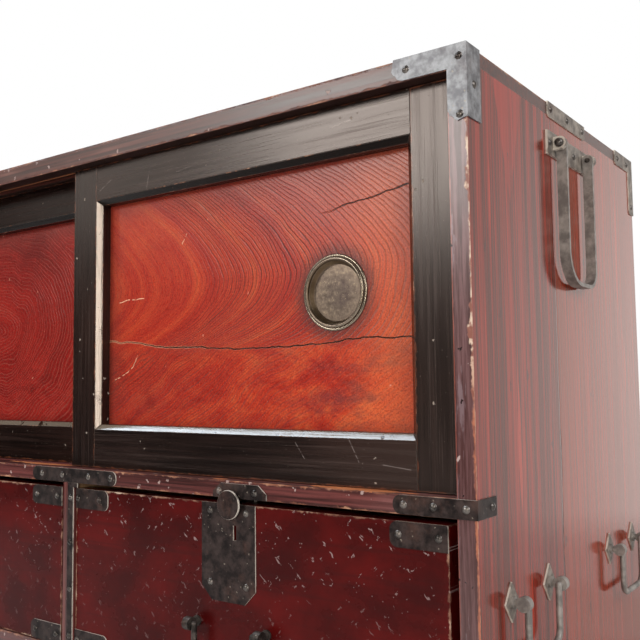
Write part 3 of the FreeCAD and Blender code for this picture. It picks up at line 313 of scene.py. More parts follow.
# ---------------------------------------------------------------- lacquer on the case and the door frames
def black_lacquer(name, axis, lo, hi, bevel_highlight, sheen, scratches=()):
    """Polished black lacquer: brushed streaks, dust, small nicks, scratches, rubbed-through edges; a painted
    haze of sheen at the lower right, painted highlights and painted shade on the bevels.
    """
    s = Shader(name)
    streak = s.noise(260, along(axis, 0.03), detail=5)
    brown = s.step(streak, 0.3, 0.75)
    cloud = s.noise(9, along(axis, 0.5), detail=3)
    base = s.mix(brown, rgb(14, 7, 6), rgb(30, 17, 14))
    base = s.mix(s.step(cloud, 0.45, 0.8), base, rgb(38, 23, 19))
    brushed = s.noise(430, along(axis, 0.022), detail=4, rough=0.6, shift=5.0)
    base = s.mix(s.step(brushed, 0.56, 0.72, 0.0, 0.35), base, rgb(60, 44, 40))
    # A painted haze of sheen, paler towards the lower right of the right door's frame.
    lower_right_sheen = s.times(s.step(s.x, 0.28, 0.42), s.step(s.z, 0.21, 0.36, 0.12, 0.0))
    base = s.mix(lower_right_sheen, base, rgb(84, 72, 68))
    rubbed = s.plus(s.edge(lo, hi), s.times(s.noise(90, detail=4), -0.006))
    base = s.mix(s.step(rubbed, -0.0030, -0.0016, 0.85, 0.0), base, rgb(96, 52, 34))

    nick = s.specks(170, 0.34, 0.045, warp=0.8)
    marks = s.most(nick, s.times(s.specks(520, 0.30, 0.05), 0.5))
    base = s.mix(s.times(marks, 0.75), base, rgb(150, 138, 128))
    upright_hair = s.step(s.noise(34, (1.6, 1, 0.05), detail=1, shift=3.1), 0.71, 0.725)
    level_hair = s.step(s.noise(30, (0.06, 1, 1.9), detail=1, shift=7.7), 0.72, 0.735)
    base = s.mix(s.times(s.most(upright_hair, level_hair), 0.35), base, rgb(120, 110, 100))
    for scratch in scratches:
        cut = s.step(s.line(scratch), 0.0001, 0.0005, 0.5, 0.0)
        base = s.mix(s.times(cut, s.step(brushed, 0.40, 0.56)), base, rgb(136, 126, 124))

    # The bevel round the panel faces forward and aside; its upper part looks down, its lower part up. Bevel
    # faces looking aside and up get a painted highlight, pale in their colour and smoother; those looking
    # down get painted shade, near black with their reflection tinted dark; faces looking up reflect bluer, a
    # painted cool light.
    out_x, out_y, out_z = s.facing()
    bevel = s.band(out_y, (-0.85, -0.75), (-0.62, -0.5))
    slant = s.times(s.step(s.most(s.size(out_x), out_z), 0.5, 0.65), bevel)
    down = s.times(s.step(out_z, -0.65, -0.5, 1.0, 0.0), bevel)
    up = s.times(s.step(out_z, 0.5, 0.65), s.step(out_y, -0.85, -0.75))
    scuffed = s.most(s.step(s.noise(60, detail=4, rough=0.7), 0.60, 0.64), marks)
    pale = s.mix(scuffed, rgb(104, 94, 84), rgb(40, 28, 22))
    base = s.mix(s.times(slant, bevel_highlight), base, pale)
    base = s.mix(s.times(down, 0.8), base, rgb(8, 5, 4))
    tint = s.mix(up, (1.0, 0.87, 0.81, 1.0), (0.90, 0.95, 1.0, 1.0))
    tint = s.mix(down, tint, (0.12, 0.10, 0.09, 1.0))
    rough = s.plus(s.lerp(brown, 0.19, 0.26), s.times(cloud, 0.06), s.times(marks, 0.3),
                   s.step(brushed, 0.50, 0.68, 0.0, 0.07))
    rough = s.lerp(slant, rough, 0.10)
    s.set(Base_Color=base, Roughness=rough, Specular_Tint=tint, IOR=1.5, Specular_IOR_Level=sheen)
    s.bump(s.plus(streak, s.times(nick, -2.0)), 0.00012)
    return s.mat


def worn_black_edge(name):
    """A black arris worn to brown, here and there to the wood."""
    s = Shader(name)
    wear = s.noise(140, detail=5, rough=0.7)
    coarse = s.noise(22, detail=2, shift=2.0)
    base = s.ramp(s.plus(wear, s.times(coarse, 0.5)), [
        (0.0, rgb(22, 17, 15)), (0.80, rgb(40, 28, 24)), (0.87, rgb(96, 60, 42)),
        (0.95, rgb(150, 116, 96)), (1.0, rgb(190, 165, 145))])
    s.set(Base_Color=base, Roughness=0.32, IOR=1.5, Specular_Tint=(1.0, 0.93, 0.88, 1.0))
    s.bump(wear, 0.0002)
    return s.mat


def pale_edge(name, dark, mid, light, share=0.5, fade=None):
    """An arris rubbed through its lacquer, here and there down to pale wood; browner below the fade."""
    s = Shader(name)
    wear = s.noise(150, detail=5, rough=0.7)
    coarse = s.noise(18, detail=2, shift=2.0)
    amount = s.plus(s.times(wear, 0.6), s.times(coarse, 0.4))
    base = s.ramp(amount, [(share - 0.16, dark), (share, mid), (share + 0.10, light)])
    if fade is not None:
        base = s.mix(s.step(s.z, *fade, 0.75, 0.0), base, rgb(128, 72, 52))
    s.set(Base_Color=base, Roughness=0.36, IOR=1.6)
    s.bump(wear, 0.0003)
    return s.mat


def bare_streak(s, ragged, top, start, end, middle, half):
    """A lens-shaped streak with ragged sides, on the face at height top."""
    u = s.over(s.minus(s.x, (start + end) / 2), (end - start) / 2)
    room = s.times(s.minus(1.0, s.times(u, u)), half)
    room = s.minus(s.plus(room, s.times(ragged, 3.0 * half)), s.off(s.y, middle))
    return s.times(s.step(room, 0.0, 0.0008), s.step(s.z, top - 0.0006, top - 0.0003))


def worn_lacquer(name, node, colours, wear=0.004, chips=0.10, ior=1.55, sheen=0.5, bare_top=(), groove=None):
    """Old brown-red lacquer on a board along X: streaks, faded patches, chips, edges rubbed to the wood; with
    a groove, painted shade on the underside.
    """
    s = Shader(name)
    lo, hi = block(node)
    deep, mid, pale = colours
    streak = s.noise(240, along("X", 0.02), detail=6, rough=0.6)
    band = s.noise(55, along("X", 0.06), detail=3, shift=4.0)
    cloud = s.noise(14, along("X", 0.35), detail=4)
    base = s.mix(s.step(streak, 0.35, 0.68), deep, mid)
    faded = s.times(s.step(cloud, 0.5, 0.72), s.step(band, 0.4, 0.65))
    base = s.mix(s.times(faded, s.step(streak, 0.44, 0.58, 0.30, 0.9)), base, pale)

    rubbed = s.plus(s.edge(lo, hi), s.times(s.noise(120, detail=5, rough=0.7), -2.0 * wear))
    bare = s.step(rubbed, -0.92 * wear, -0.62 * wear, 1.0, 0.0)
    base = s.mix(s.times(bare, 0.8), base, s.ramp(s.noise(60, detail=2, shift=1.0), [
        (0.35, rgb(62, 30, 26)), (0.55, rgb(124, 76, 56)), (0.75, rgb(184, 140, 112))]))
    chip = s.specks(150, 0.42, chips, warp=1.0)
    grime = s.specks(330, 0.36, chips * 1.2, warp=0.8, shift=2.2)
    base = s.mix(s.times(chip, 0.7), base, rgb(168, 146, 142))
    base = s.mix(s.times(grime, 0.6), base, rgb(38, 18, 18))

    ragged = s.minus(s.noise(130, along("X", 0.45), detail=5, rough=0.7, shift=8.0), 0.5)
    raw = s.mix(s.noise(260, along("X", 0.2), detail=3), rgb(150, 74, 40), rgb(214, 140, 92))
    for place in bare_top:
        streaked = bare_streak(s, ragged, hi[2], *place)
        bare = s.most(bare, streaked)
        base = s.mix(s.times(streaked, 0.9), base, raw)
    if groove is not None:
        # Painted shade on the underside behind the front arris, and a bare seam in it along the groove.
        under = s.times(s.step(s.z, lo[2] + 0.0003, lo[2] + 0.0008, 1.0, 0.0),
                        s.step(s.y, lo[1] + 0.0005, lo[1] + 0.0015))
        base = s.mix(s.times(under, 0.8), base, rgb(20, 11, 9))
        seam = s.plus(s.off(s.y, groove), s.times(ragged, 0.0012))
        base = s.mix(s.times(s.step(seam, 0.0007, 0.0012, 0.8, 0.0), under), base, raw)

    worn = s.most(bare, chip)
    rough = s.plus(s.lerp(streak, 0.24, 0.46), s.times(worn, 0.25))
    s.set(Base_Color=base, Roughness=rough, IOR=ior, Specular_IOR_Level=sheen)
    s.bump(s.plus(s.times(streak, 0.8), s.times(worn, -1.2)), 0.00025)
    return s.mat


# ---------------------------------------------------------------- lacquer on the sides
def side_flames(s, base, band):
    """A flame of red grain over FLAME, and a leaning tongue of paler red round TONGUE."""
    flame = s.minus(s.times(s.minus(s.z, FLAME[1]), 0.30), s.off(s.y, FLAME[0]))
    flame = s.times(s.step(flame, 0.0, 0.003), s.step(band, 0.40, 0.60, 0.70, 0.1))
    base = s.mix(flame, base, rgb(158, 48, 38))
    rise = s.minus(s.z, TONGUE[1])
    u = s.over(rise, TONGUE_HALF)
    belly = s.times(s.minus(1.0, s.times(u, u)), s.step(u, -1.0, 0.9, 0.0056, 0.0018))
    spine = s.plus(s.minus(s.y, TONGUE[0]), s.times(rise, TONGUE_LEAN),
                   s.times(s.minus(s.noise(14, detail=2), 0.5), 0.006))
    tongue = s.minus(belly, s.size(spine))
    return s.mix(s.step(tongue, 0.0, 0.0016, 0.0, 0.85), base, rgb(160, 56, 42))


def side_planks(s, base):
    """The rear plank, a little lighter, and the dark joint in front of it; returns the joint's mask too."""
    y = s.plus(s.y, s.times(s.minus(s.noise(30, (1, 1, 0.4), detail=3), 0.5), 0.004))
    gap = s.step(s.off(y, PLANK_JOINT_Y), 0.0004, 0.0011, 1.0, 0.0)
    dark = s.times(gap, s.step(s.z, 0.235, 0.25, 1.0, 0.25))
    rear = s.step(y, PLANK_JOINT_Y - 0.001, PLANK_JOINT_Y + 0.001)
    base = s.mix(s.times(rear, 0.34), base, rgb(150, 68, 45))
    base = s.mix(s.times(dark, s.step(s.noise(40, detail=2), 0.35, 0.5)), base, rgb(20, 10, 10))
    return base, dark


def side_front_face(s, ragged):
    """Colour of the boards' narrow front faces, with pale streaks of painted sheen and painted shade towards
    the bottom, and where their outer arris is rubbed.
    """
    fibre = s.noise(300, (1, 1, 0.04), detail=5, rough=0.7)
    face = s.mix(s.step(fibre, 0.40, 0.64), rgb(64, 38, 38), rgb(106, 76, 78))
    # Pale lilac streaks: a painted sheen.
    patch = s.noise(70, (1, 1, 0.14), detail=6, rough=0.7, shift=2.0)
    face = s.mix(s.step(patch, 0.54, 0.60, 0.0, 0.45), face, rgb(142, 126, 134))
    inner = s.plus(s.size(s.x), s.times(s.noise(200, detail=3), -0.0016))
    face = s.mix(s.step(inner, INNER_X - 0.0004, INNER_X + 0.0002, 0.6, 0.0), face, rgb(150, 74, 56))
    # Darker towards the bottom: painted shade.
    face = s.mix(s.step(s.z, 0.20, 0.36, 0.45, 0.0), face, rgb(58, 26, 24))
    face = s.mix(s.specks(110, 0.36, 0.18, (1, 1, 0.7), warp=1.2), face, rgb(160, 140, 138))
    face = s.mix(s.specks(170, 0.38, 0.20, warp=1.2, shift=4.0), face, rgb(34, 16, 16))

    gouge = s.step(s.noise(30, detail=4, rough=0.7, shift=6.0), 0.50, 0.68)
    gouge = s.times(gouge, s.step(s.z, 0.22, 0.34, 0.001, 0.0035))
    rubbed = s.minus(s.minus(s.minus(HALF_W, s.size(s.x)), ragged), gouge)
    rubbed = s.step(rubbed, -0.0024, -0.0014, 1.0, 0.0)
    bare = s.mix(s.step(s.z, 0.25, 0.32), rgb(152, 90, 64), rgb(190, 168, 150))
    bare = s.mix(s.step(s.noise(120, detail=4, shift=1.0), 0.42, 0.56), rgb(118, 66, 52), bare)
    return s.mix(rubbed, face, bare), rubbed


def side_lacquer(name):
    """The sides: thin brown-red lacquer over straight upright grain, on two planks."""
    s = Shader(name)
    fine = s.noise(520, (1, 1, 0.012), detail=5, rough=0.6)
    band = s.noise(110, (1, 1, 0.018), detail=5, rough=0.62, shift=1.3)
    base = s.ramp(band, [(0.34, rgb(74, 32, 23)), (0.46, rgb(98, 35, 26)), (0.53, rgb(116, 38, 28)),
                         (0.60, rgb(142, 45, 33)), (0.68, rgb(106, 37, 27)), (0.80, rgb(84, 34, 26))])
    drift = s.noise(230, (1, 1, 0.015), detail=4, shift=11.0)
    base = s.mix(s.step(drift, 0.50, 0.60, 0.0, 0.45), base, rgb(136, 46, 34))
    base = s.mix(s.step(drift, 0.36, 0.44, 0.5, 0.0), base, rgb(74, 33, 24))
    base = s.mix(s.step(fine, 0.45, 0.62, 0.0, 0.55), base, rgb(64, 30, 22))
    base = side_flames(s, base, band)
    broad = s.noise(12, (1, 1, 0.10), detail=3, shift=5.1)
    base = s.mix(s.step(broad, 0.5, 0.75, 0.0, 0.35), base, rgb(128, 66, 56))
    hot = s.step(s.noise(75, (1, 1, 0.05), detail=2, shift=9.0), 0.66, 0.72)
    base = s.mix(s.times(hot, 0.6), base, rgb(166, 56, 38))
    base, dark = side_planks(s, base)

    ragged = s.times(s.noise(110, (1, 1, 0.6), detail=5, rough=0.7), 0.006)
    face, rubbed = side_front_face(s, ragged)
    front = s.step(s.y, FRONT + 0.0001, FRONT + 0.0004, 1.0, 0.0)
    behind = s.minus(1.0, front)
    base = s.mix(front, base, face)
    near = s.step(s.minus(s.minus(s.y, FRONT), ragged), -0.0030, -0.0022, 0.8, 0.0)
    base = s.mix(s.times(near, behind), base, rgb(190, 150, 120))
    inside = s.step(s.size(s.x), HALF_W - 0.012, HALF_W - 0.006, 0.85, 0.0)
    base = s.mix(s.times(inside, behind), base, s.mix(fine, rgb(34, 14, 12), rgb(58, 26, 22)))
    chip = s.specks(120, 0.36, 0.05, (1, 1, 0.5), warp=0.8)
    base = s.mix(s.times(chip, 0.5), base, rgb(48, 26, 26))
    rough = s.lerp(front, s.lerp(fine, 0.07, 0.16), s.lerp(rubbed, 0.26, 0.42))
    s.set(Base_Color=base, Roughness=rough, IOR=1.48)
    s.bump(s.plus(s.times(fine, 0.6), s.times(dark, -4.0)), 0.00008)
    return s.mat


# ---------------------------------------------------------------- the doors' panels
def arched_rings(s):
    """Right panel: nested arches that open to the left, crowded in the middle of the panel."""
    x, _, z = s.split(s.wobbled(22.0, 0.0065))
    v = s.minus(z, ARCH_Z)
    above = s.times(s.math("POWER", s.most(v, 0.0), 1.55), 3.7)
    below = s.least(v, 0.0)
    below = s.times(below, below, s.step(x, 0.18, 0.38, 23.0, 6.0))
    reach = s.plus(x, s.plus(above, below))
    ring = s.plus(s.times(reach, ARCH_RINGS), s.step(reach, 0.17, 0.31, 0.0, 4.0))
    return ring, s.join(ring, s.times(v, 16.0), 0.0)


def slanting_streaks(s):
    """Right panel under its crack: uneven streaks that climb to the right."""
    x, _, z = s.split(s.wobbled(11.0, 0.045, 1.5))
    ring = s.over(s.minus(z, s.times(x, STREAK_SLOPE)), STREAK_GAP)
    return ring, s.join(ring, s.times(s.plus(x, z), 14.0), 3.0)


def swirling_rings(s):
    """Left panel: closed rings round the middle of the panel, pushed about into eddies."""
    x, _, z = s.split(s.wobbled(12.0, 0.045))
    u = s.minus(x, EDDY[0])
    v = s.minus(z, EDDY[1])
    reach = s.math("SQRT", s.plus(s.times(u, u), s.times(v, v, 1.5)))
    ring = s.over(reach, EDDY_GAP)
    safe = s.plus(reach, 0.003)
    return ring, s.join(ring, s.times(s.over(u, safe), 4.0), s.times(s.over(v, safe), 4.0))


def grain(s, ring, flow, fine):
    """Colour tone, ring lines, thin lines and short fibres that follow a set of rings."""
    uneven = s.plus(ring, s.times(s.noise(0.4, (1, 3, 3), place=flow, detail=2), 1.5),
                    s.times(s.noise(130, detail=2), 0.14))
    line = s.band(s.fract(uneven), (0.0, 0.10), (0.15, 0.42))
    strength = s.noise(0.7, (1, 0.15, 0.15), place=flow, detail=2, shift=5.0)
    line = s.times(line, s.step(strength, 0.28, 0.50, 0.35, 1.0))
    thin = s.band(s.fract(s.times(uneven, fine)), (0.1, 0.4), (0.5, 0.9))
    tone = s.noise(0.22, (1, 0.6, 0.6), place=flow, detail=5, rough=0.62)
    fibre = s.noise(3.2, (1.0, 3.0, 3.0), place=flow, detail=4, rough=0.65)
    return tone, line, thin, fibre


def right_grain(s, ring, flow):
    """The arches' grain, streaked instead under the main crack; returns that lower part's mask too."""
    tone, line, thin, fibre = grain(s, ring, flow, 2.0)
    line = s.times(line, s.step(ring, 25.0, 36.0, 0.22, 1.0), s.step(ring, 56.0, 63.0, 0.95, 1.15))
    thin = s.times(thin, s.step(ring, 25.0, 36.0, 0.35, 1.0))
    low_tone, low_line, low_thin, low_fibre = grain(s, *slanting_streaks(s), 2.0)
    mottled = s.noise(24, (1, 1, 1.7), detail=6, rough=0.68, warp=0.4, shift=14.0)
    low_tone = s.lerp(s.step(s.x, 0.08, 0.24, 0.15, 0.75), low_tone, mottled)
    low_tone = s.plus(s.times(low_tone, 1.5), -0.25)
    low_thin = s.times(low_thin, s.step(s.x, 0.12, 0.30, 1.0, 0.4))
    under = s.step(s.plus(s.z, s.times(s.noise(14, detail=2), 0.02)), 0.315, 0.335, 1.0, 0.0)
    parts = ((tone, low_tone), (line, s.times(low_line, 0.30)), (thin, low_thin), (fibre, low_fibre))
    return [s.lerp(under, arched, streaked) for arched, streaked in parts], under


def grain_colours(s, figure, stops, dull, vein, dark, thin_share, line_share, blot_share=1.0):
    """Ground colour along the stops, then dull thin lines, veins, pores and dark blots over it."""
    tone, line, thin, fibre = figure
    cloud = s.noise(10, detail=4, rough=0.6, warp=0.5)
    base = s.ramp(s.plus(s.times(tone, 0.58), s.times(cloud, 0.22), s.times(fibre, 0.20)), stops)
    base = s.mix(s.times(thin, s.step(fibre, 0.35, 0.6, *thin_share)), base, dull)
    patch = s.step(s.noise(6, detail=3, shift=3.0), 0.36, 0.56, 0.6, 1.0)
    base = s.mix(s.math("MULTIPLY", s.times(line, patch), line_share, clamp=True), base, vein)
    pore = s.times(line, s.step(fibre, 0.52, 0.62))
    base = s.mix(s.times(pore, 0.35), base, rgb(56, 24, 22))
    blot = s.step(s.noise(17, (1, 1, 1.5), detail=4, rough=0.65, shift=8.0), 0.56, 0.72, 0.0, 0.55)
    return s.mix(s.times(blot, blot_share), base, dark)


def right_shades(s, base, thin, under):
    """Murk under the crack, and painted light: sheen along the top, a glow at the outer stile, a duller sheen
    in its upper corner.
    """
    murk = s.step(s.noise(11, (1, 1, 2.0), detail=5, rough=0.7, shift=2.6), 0.46, 0.62)
    murk = s.times(murk, s.times(under, s.step(s.x, 0.20, 0.36, 0.15, 0.8)))
    base = s.mix(murk, base, rgb(96, 44, 46))
    # Painted sheen along the top, strongest on the thin lines.
    top_sheen = s.times(s.step(s.z, 0.40, 0.47), s.step(s.x, 0.10, 0.24, 0.0, 0.45))
    base = s.mix(s.times(top_sheen, s.plus(thin, 0.3)), base, rgb(120, 62, 58))
    # A little darker left of the outer stile, then a painted glow towards it.
    base = s.mix(s.step(s.x, 0.28, 0.37, 0.10, 0.0), base, rgb(60, 20, 12))
    base = s.mix(s.step(s.x, 0.31, 0.38, 0.0, 0.30), base, rgb(206, 112, 66))
    # A duller painted sheen in the upper corner by the outer stile.
    corner_sheen = s.times(s.step(s.z, 0.36, 0.45, 0.0, 0.38), s.step(s.x, 0.22, 0.36))
    return s.mix(corner_sheen, base, rgb(138, 74, 56))


def mirrored(side, span):
    """A span of X on the right half, or its mirror image on the left half."""
    return sorted(SIGN[side] * v for v in span)


def dull_rims(s, base, side):
    """Duller lacquer near the frame and round the pull."""
    x0, x1 = mirrored(side, OPEN_X)
    rim = s.least(s.minus(s.x, x0), s.minus(x1, s.x), s.minus(OPEN_TOP, s.z))
    rim = s.plus(rim, s.times(s.noise(25, detail=3), 0.03))
    base = s.mix(s.step(rim, 0.016, 0.050, 0.6, 0.0), base, rgb(104, 44, 38))
    halo = s.vec("DISTANCE", s.join(s.x, 0.0, s.z), (SIGN[side] * PULL_X, 0.0, PULL_Z))
    halo = s.plus(halo, s.times(s.noise(30, detail=3), 0.008))
    return s.mix(s.step(halo, 0.036, 0.054, 0.8, 0.0), base, rgb(74, 38, 36))


def right_cracks(s, base):
    """Two cracks, the main one with a painted highlight along its lip, palest at its left, and scratches;
    returns the cracks' mask too.
    """
    place = s.wobbled(70.0, 0.005, 3.0)
    main = s.line(MAIN_CRACK, place)
    upper = s.line(UPPER_CRACK, place)
    # A painted highlight on both sides of the main crack, palest at its left.
    lip = s.times(s.step(main, 0.0006, 0.0014, 1.0, 0.0), s.step(s.x, 0.10, 0.20, 0.65, 0.12))
    base = s.mix(lip, base, rgb(206, 150, 118))
    upper = s.times(s.step(upper, 0.0002, 0.0008, 1.0, 0.0), s.step(s.x, 0.295, 0.33))
    crack = s.most(s.step(main, 0.0002, 0.0008, 1.0, 0.0), upper)
    crack = s.times(crack, s.step(s.x, 0.03, 0.12, 0.5, 1.0))
    base = s.mix(crack, base, rgb(24, 9, 7))
    pale = s.most(*(s.step(s.line(points, place), core, 0.0007, strength, 0.0)
                    for points, core, strength in PANEL_SCRATCHES))
    pale = s.times(pale, s.step(s.noise(260, detail=2), 0.38, 0.52))
    return s.mix(pale, base, rgb(222, 176, 146)), crack


def finish_panel(s, base, fibre, height, glint):
    """Small nicks, dark and bright pores, and the lacquer's gloss."""
    nick = s.specks(140, 0.22, 0.016, warp=0.8)
    base = s.mix(s.times(nick, 0.6), base, rgb(215, 140, 118))
    pore = s.noise(620, detail=2, rough=0.7)
    base = s.mix(s.step(pore, 0.50, 0.64, 0.0, 0.42), base, rgb(74, 24, 18))
    base = s.mix(s.step(pore, 0.30, 0.42, 0.30, 0.0), base, glint)
    s.set(Base_Color=base, Roughness=s.lerp(fibre, 0.20, 0.38), IOR=1.5, Specular_IOR_Level=0.24)
    s.bump(height, 0.0002)
    return s.mat


def left_zelkova():
    """The left panel: dark red zelkova with swirling rings under clear lacquer."""
    s = Shader("left_zelkova")
    figure = grain(s, *swirling_rings(s), 3.0)
    base = grain_colours(
        s, figure, [(0.34, rgb(92, 10, 8)), (0.46, rgb(124, 17, 13)), (0.58, rgb(142, 27, 20)),
                    (0.72, rgb(158, 56, 44))],
        dull=rgb(104, 32, 30), vein=rgb(146, 74, 62), dark=rgb(84, 12, 12), thin_share=(0.10, 0.45),
        line_share=0.6)
    _, line, _, fibre = figure
    base = dull_rims(s, base, "left")
    return finish_panel(s, base, fibre, s.times(line, -0.5), rgb(176, 60, 48))


def right_zelkova():
    """The right panel: orange-red zelkova with nested arches, cracked and scratched."""
    s = Shader("right_zelkova")
    ring, flow = arched_rings(s)
    figure, under = right_grain(s, ring, flow)
    base = grain_colours(
        s, figure, [(0.36, rgb(136, 24, 15)), (0.45, rgb(162, 38, 22)), (0.53, rgb(178, 58, 31)),
                    (0.64, rgb(192, 86, 46))],
        dull=rgb(104, 44, 38), vein=s.mix(s.step(ring, 52.0, 60.0), rgb(54, 24, 26), rgb(100, 58, 60)),
        dark=rgb(112, 20, 16), thin_share=(0.25, 0.65), line_share=0.85, blot_share=s.lerp(under, 0.35, 1.0))
    _, line, thin, fibre = figure
    base = right_shades(s, base, thin, under)
    base = dull_rims(s, base, "right")
    base, crack = right_cracks(s, base)
    height = s.plus(s.times(line, -0.5), s.times(crack, -6.0))
    return finish_panel(s, base, fibre, height, rgb(226, 104, 60))


# ---------------------------------------------------------------- drawers and bare wood
def drawer_lacquer(name, lo, hi):
    """Deep oxblood lacquer, chipped most in its upper part, rubbed pale along its edges."""
    s = Shader(name)
    cloud = s.noise(16, (1, 1, 1.4), detail=4)
    streak = s.noise(160, (0.04, 1, 1), detail=4)
    base = s.mix(s.step(cloud, 0.30, 0.75), rgb(50, 6, 6), rgb(80, 10, 9))
    base = s.mix(s.step(streak, 0.5, 0.7, 0.0, 0.4), base, rgb(46, 12, 12))
    rubbed = s.plus(s.edge(lo, hi), s.times(s.noise(130, detail=5, rough=0.7), -0.009))
    bare = s.step(rubbed, -0.0042, -0.0030, 1.0, 0.0)
    base = s.mix(s.times(bare, 0.75), base, s.ramp(s.noise(70, detail=2, shift=1.0), [
        (0.35, rgb(60, 30, 26)), (0.55, rgb(140, 105, 88)), (0.75, rgb(200, 178, 158))]))
    leaning = s.join(s.minus(s.x, s.z), 0.0, s.plus(s.x, s.z))
    flakes = s.most(s.specks(75, 0.36, 0.22, (0.9, 1, 2.2), warp=1.6, place=leaning),
                    s.specks(110, 0.36, 0.16, (2.2, 1, 0.9), warp=1.6, shift=3.3, place=leaning),
                    s.specks(420, 0.30, 0.05, shift=6.1))
    flakes = s.times(flakes, s.step(s.z, 0.08, 0.16, 0.25, 1.0))
    base = s.mix(s.times(flakes, 0.75), base, rgb(142, 120, 120))
    rough = s.plus(s.lerp(cloud, 0.22, 0.34), s.times(flakes, 0.3))
    s.set(Base_Color=base, Roughness=rough, IOR=1.5, Specular_IOR_Level=0.08)
    s.bump(s.times(s.most(flakes, bare), -1.0), 0.0003)
    return s.mat


def raw_wood(name, axis, turned_back=False):
    """Bare old wood with its grain along an axis; a box's back, seen along Y, has it along X."""
    s = Shader(name)
    if turned_back:
        faces_y = s.math("GREATER_THAN", s.size(s.facing()[1]), 0.5)
        s.place = s.mix(faces_y, s.place, s.join(s.y, s.x, s.z))
    streak = s.noise(300, along(axis, 0.02), detail=6, rough=0.65)
    band = s.noise(60, along(axis, 0.04), detail=4, warp=0.3)
    base = s.ramp(band, [(0.3, rgb(146, 114, 82)), (0.5, rgb(170, 137, 101)), (0.7, rgb(190, 158, 120))])
    ring = s.fract(s.times(s.noise(13, along(axis, 0.07), detail=2, shift=2.0), 16.0))
    ring = s.band(ring, (0.0, 0.55), (0.70, 0.80))
    base = s.mix(s.times(ring, 0.5), base, rgb(128, 94, 64))
    base = s.mix(s.step(streak, 0.48, 0.68, 0.0, 0.55), base, rgb(112, 82, 58))
    grime = s.noise(7, detail=4, shift=4.0)
    base = s.mix(s.step(grime, 0.5, 0.8, 0.0, 0.45), base, rgb(96, 72, 54))
    # Lacquer runs a few millimetres in from the chest's front.
    y = s.plus(s.y, s.times(grime, 0.004))
    lacquered = s.step(y, FRONT + 0.006, FRONT + 0.008, 1.0, 0.0)
    base = s.mix(lacquered, base, s.mix(s.step(streak, 0.4, 0.7), rgb(62, 20, 18), rgb(96, 44, 38)))
    s.set(Base_Color=base, Roughness=s.lerp(lacquered, 0.7, 0.35))
    s.bump(streak, 0.0003)
    return s.mat


# ---------------------------------------------------------------- metal
def iron(name, dark, light, rust=0.5, rough=(0.38, 0.62), metal=0.75, rim=None):
    """Old forged iron, mottled and rusty; a plate facing along axis number rim gets a painted highlight on
    its rim.
    """
    s = Shader(name)
    mottle = s.noise(90, detail=6, rough=0.65)
    dents = s.noise(45, detail=2, rough=0.4, shift=3.0)
    base = s.mix(s.step(mottle, 0.35, 0.68), dark, light)
    base = s.mix(s.times(s.specks(420, 0.42, 0.10, warp=1.0), 0.55), base, rgb(150, 140, 128))
    brown = s.step(s.noise(28, detail=5, rough=0.7, shift=6.0), 0.52, 0.70, 0.0, rust)
    base = s.mix(brown, base, rgb(78, 46, 34))
    if rim is not None:
        # A painted highlight on the rim faces, which turn away from the plate's own direction; less metallic
        # there.
        turned = s.step(s.size(s.facing()[rim]), 0.6, 0.9, 1.0, 0.0)
        bright = s.times(turned, s.step(mottle, 0.36, 0.50, 0.4, 1.0))
        if rim == 1:
            # A strap's end that lies on the chest's side keeps its dark face.
            bright = s.times(bright, s.step(s.size(s.x), HALF_W + 0.0001, HALF_W + 0.0006, 1.0, 0.0))
        base = s.mix(bright, base, rgb(190, 182, 172))
        brown = s.most(brown, bright)
    s.set(Base_Color=base, Metallic=s.lerp(brown, metal, metal * 0.3), Roughness=s.lerp(mottle, *rough))
    s.bump(s.plus(s.times(dents, 3.0), mottle), 0.0003)
    return s.mat


def bronze(name):
    """Patinated bronze of the pulls: a mottled cup with a painted sheen paler towards its dark wall, and a
    painted highlight on its lip.
    """
    s = Shader(name)
    mottle = s.noise(260, detail=6, rough=0.7)
    blot = s.noise(42, detail=5, rough=0.6, shift=2.0)
    away = s.vec("DISTANCE", s.join(s.size(s.x), 0.0, s.z), (PULL_X, 0.0, PULL_Z))
    base = s.ramp(mottle, [(0.34, rgb(74, 62, 54)), (0.50, rgb(98, 86, 76)), (0.60, rgb(116, 102, 88)),
                           (0.72, rgb(158, 140, 114))])
    base = s.mix(s.step(blot, 0.42, 0.64, 0.0, 0.6), base, rgb(72, 60, 58))
    # A painted sheen, paler towards the cup's wall.
    base = s.mix(s.step(away, 0.010, 0.024, 0.0, 0.25), base, rgb(140, 122, 106))
    flecks = s.specks(700, 0.42, 0.30, warp=1.0)
    flecks = s.times(flecks, s.step(s.noise(60, detail=3, shift=9.0), 0.5, 0.6))
    base = s.mix(s.times(flecks, 0.75), base, rgb(206, 188, 150))
    wall = s.band(away, (0.0235, 0.0255), (0.0270, 0.0280))
    base = s.mix(s.times(wall, 0.7), base, rgb(74, 56, 30))
    # A painted highlight on the lip, which is smoother too.
    lip = s.step(away, 0.0282, 0.0292)
    base = s.mix(s.times(lip, 0.8), base, rgb(136, 126, 112))
    s.set(Base_Color=base, Metallic=0.85, Roughness=s.lerp(lip, s.lerp(mottle, 0.26, 0.44), 0.22))
    s.bump(mottle, 0.00012)
    return s.mat


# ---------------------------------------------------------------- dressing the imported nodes
def dress(name, look, edge_look=None, width=0.0006):
    """Give a node its material, and a board its rounded arris with a material of its own."""
    obj = nodes[name]
    obj.data.materials.clear()
    obj.data.materials.append(look)
    if edge_look is None:
        return
    obj.data.materials.append(edge_look)
    weld = obj.modifiers.new("weld", "WELD")
    weld.merge_threshold = 0.000005
    bevel = obj.modifiers.new("bevel", "BEVEL")
    bevel.width = width
    bevel.segments = 2
    bevel.limit_method = "ANGLE"
    bevel.angle_limit = math.radians(30)
    bevel.material = 1
    bevel.use_clamp_overlap = True
    normals = obj.modifiers.new("normals", "WEIGHTED_NORMAL")
    normals.weight = 100


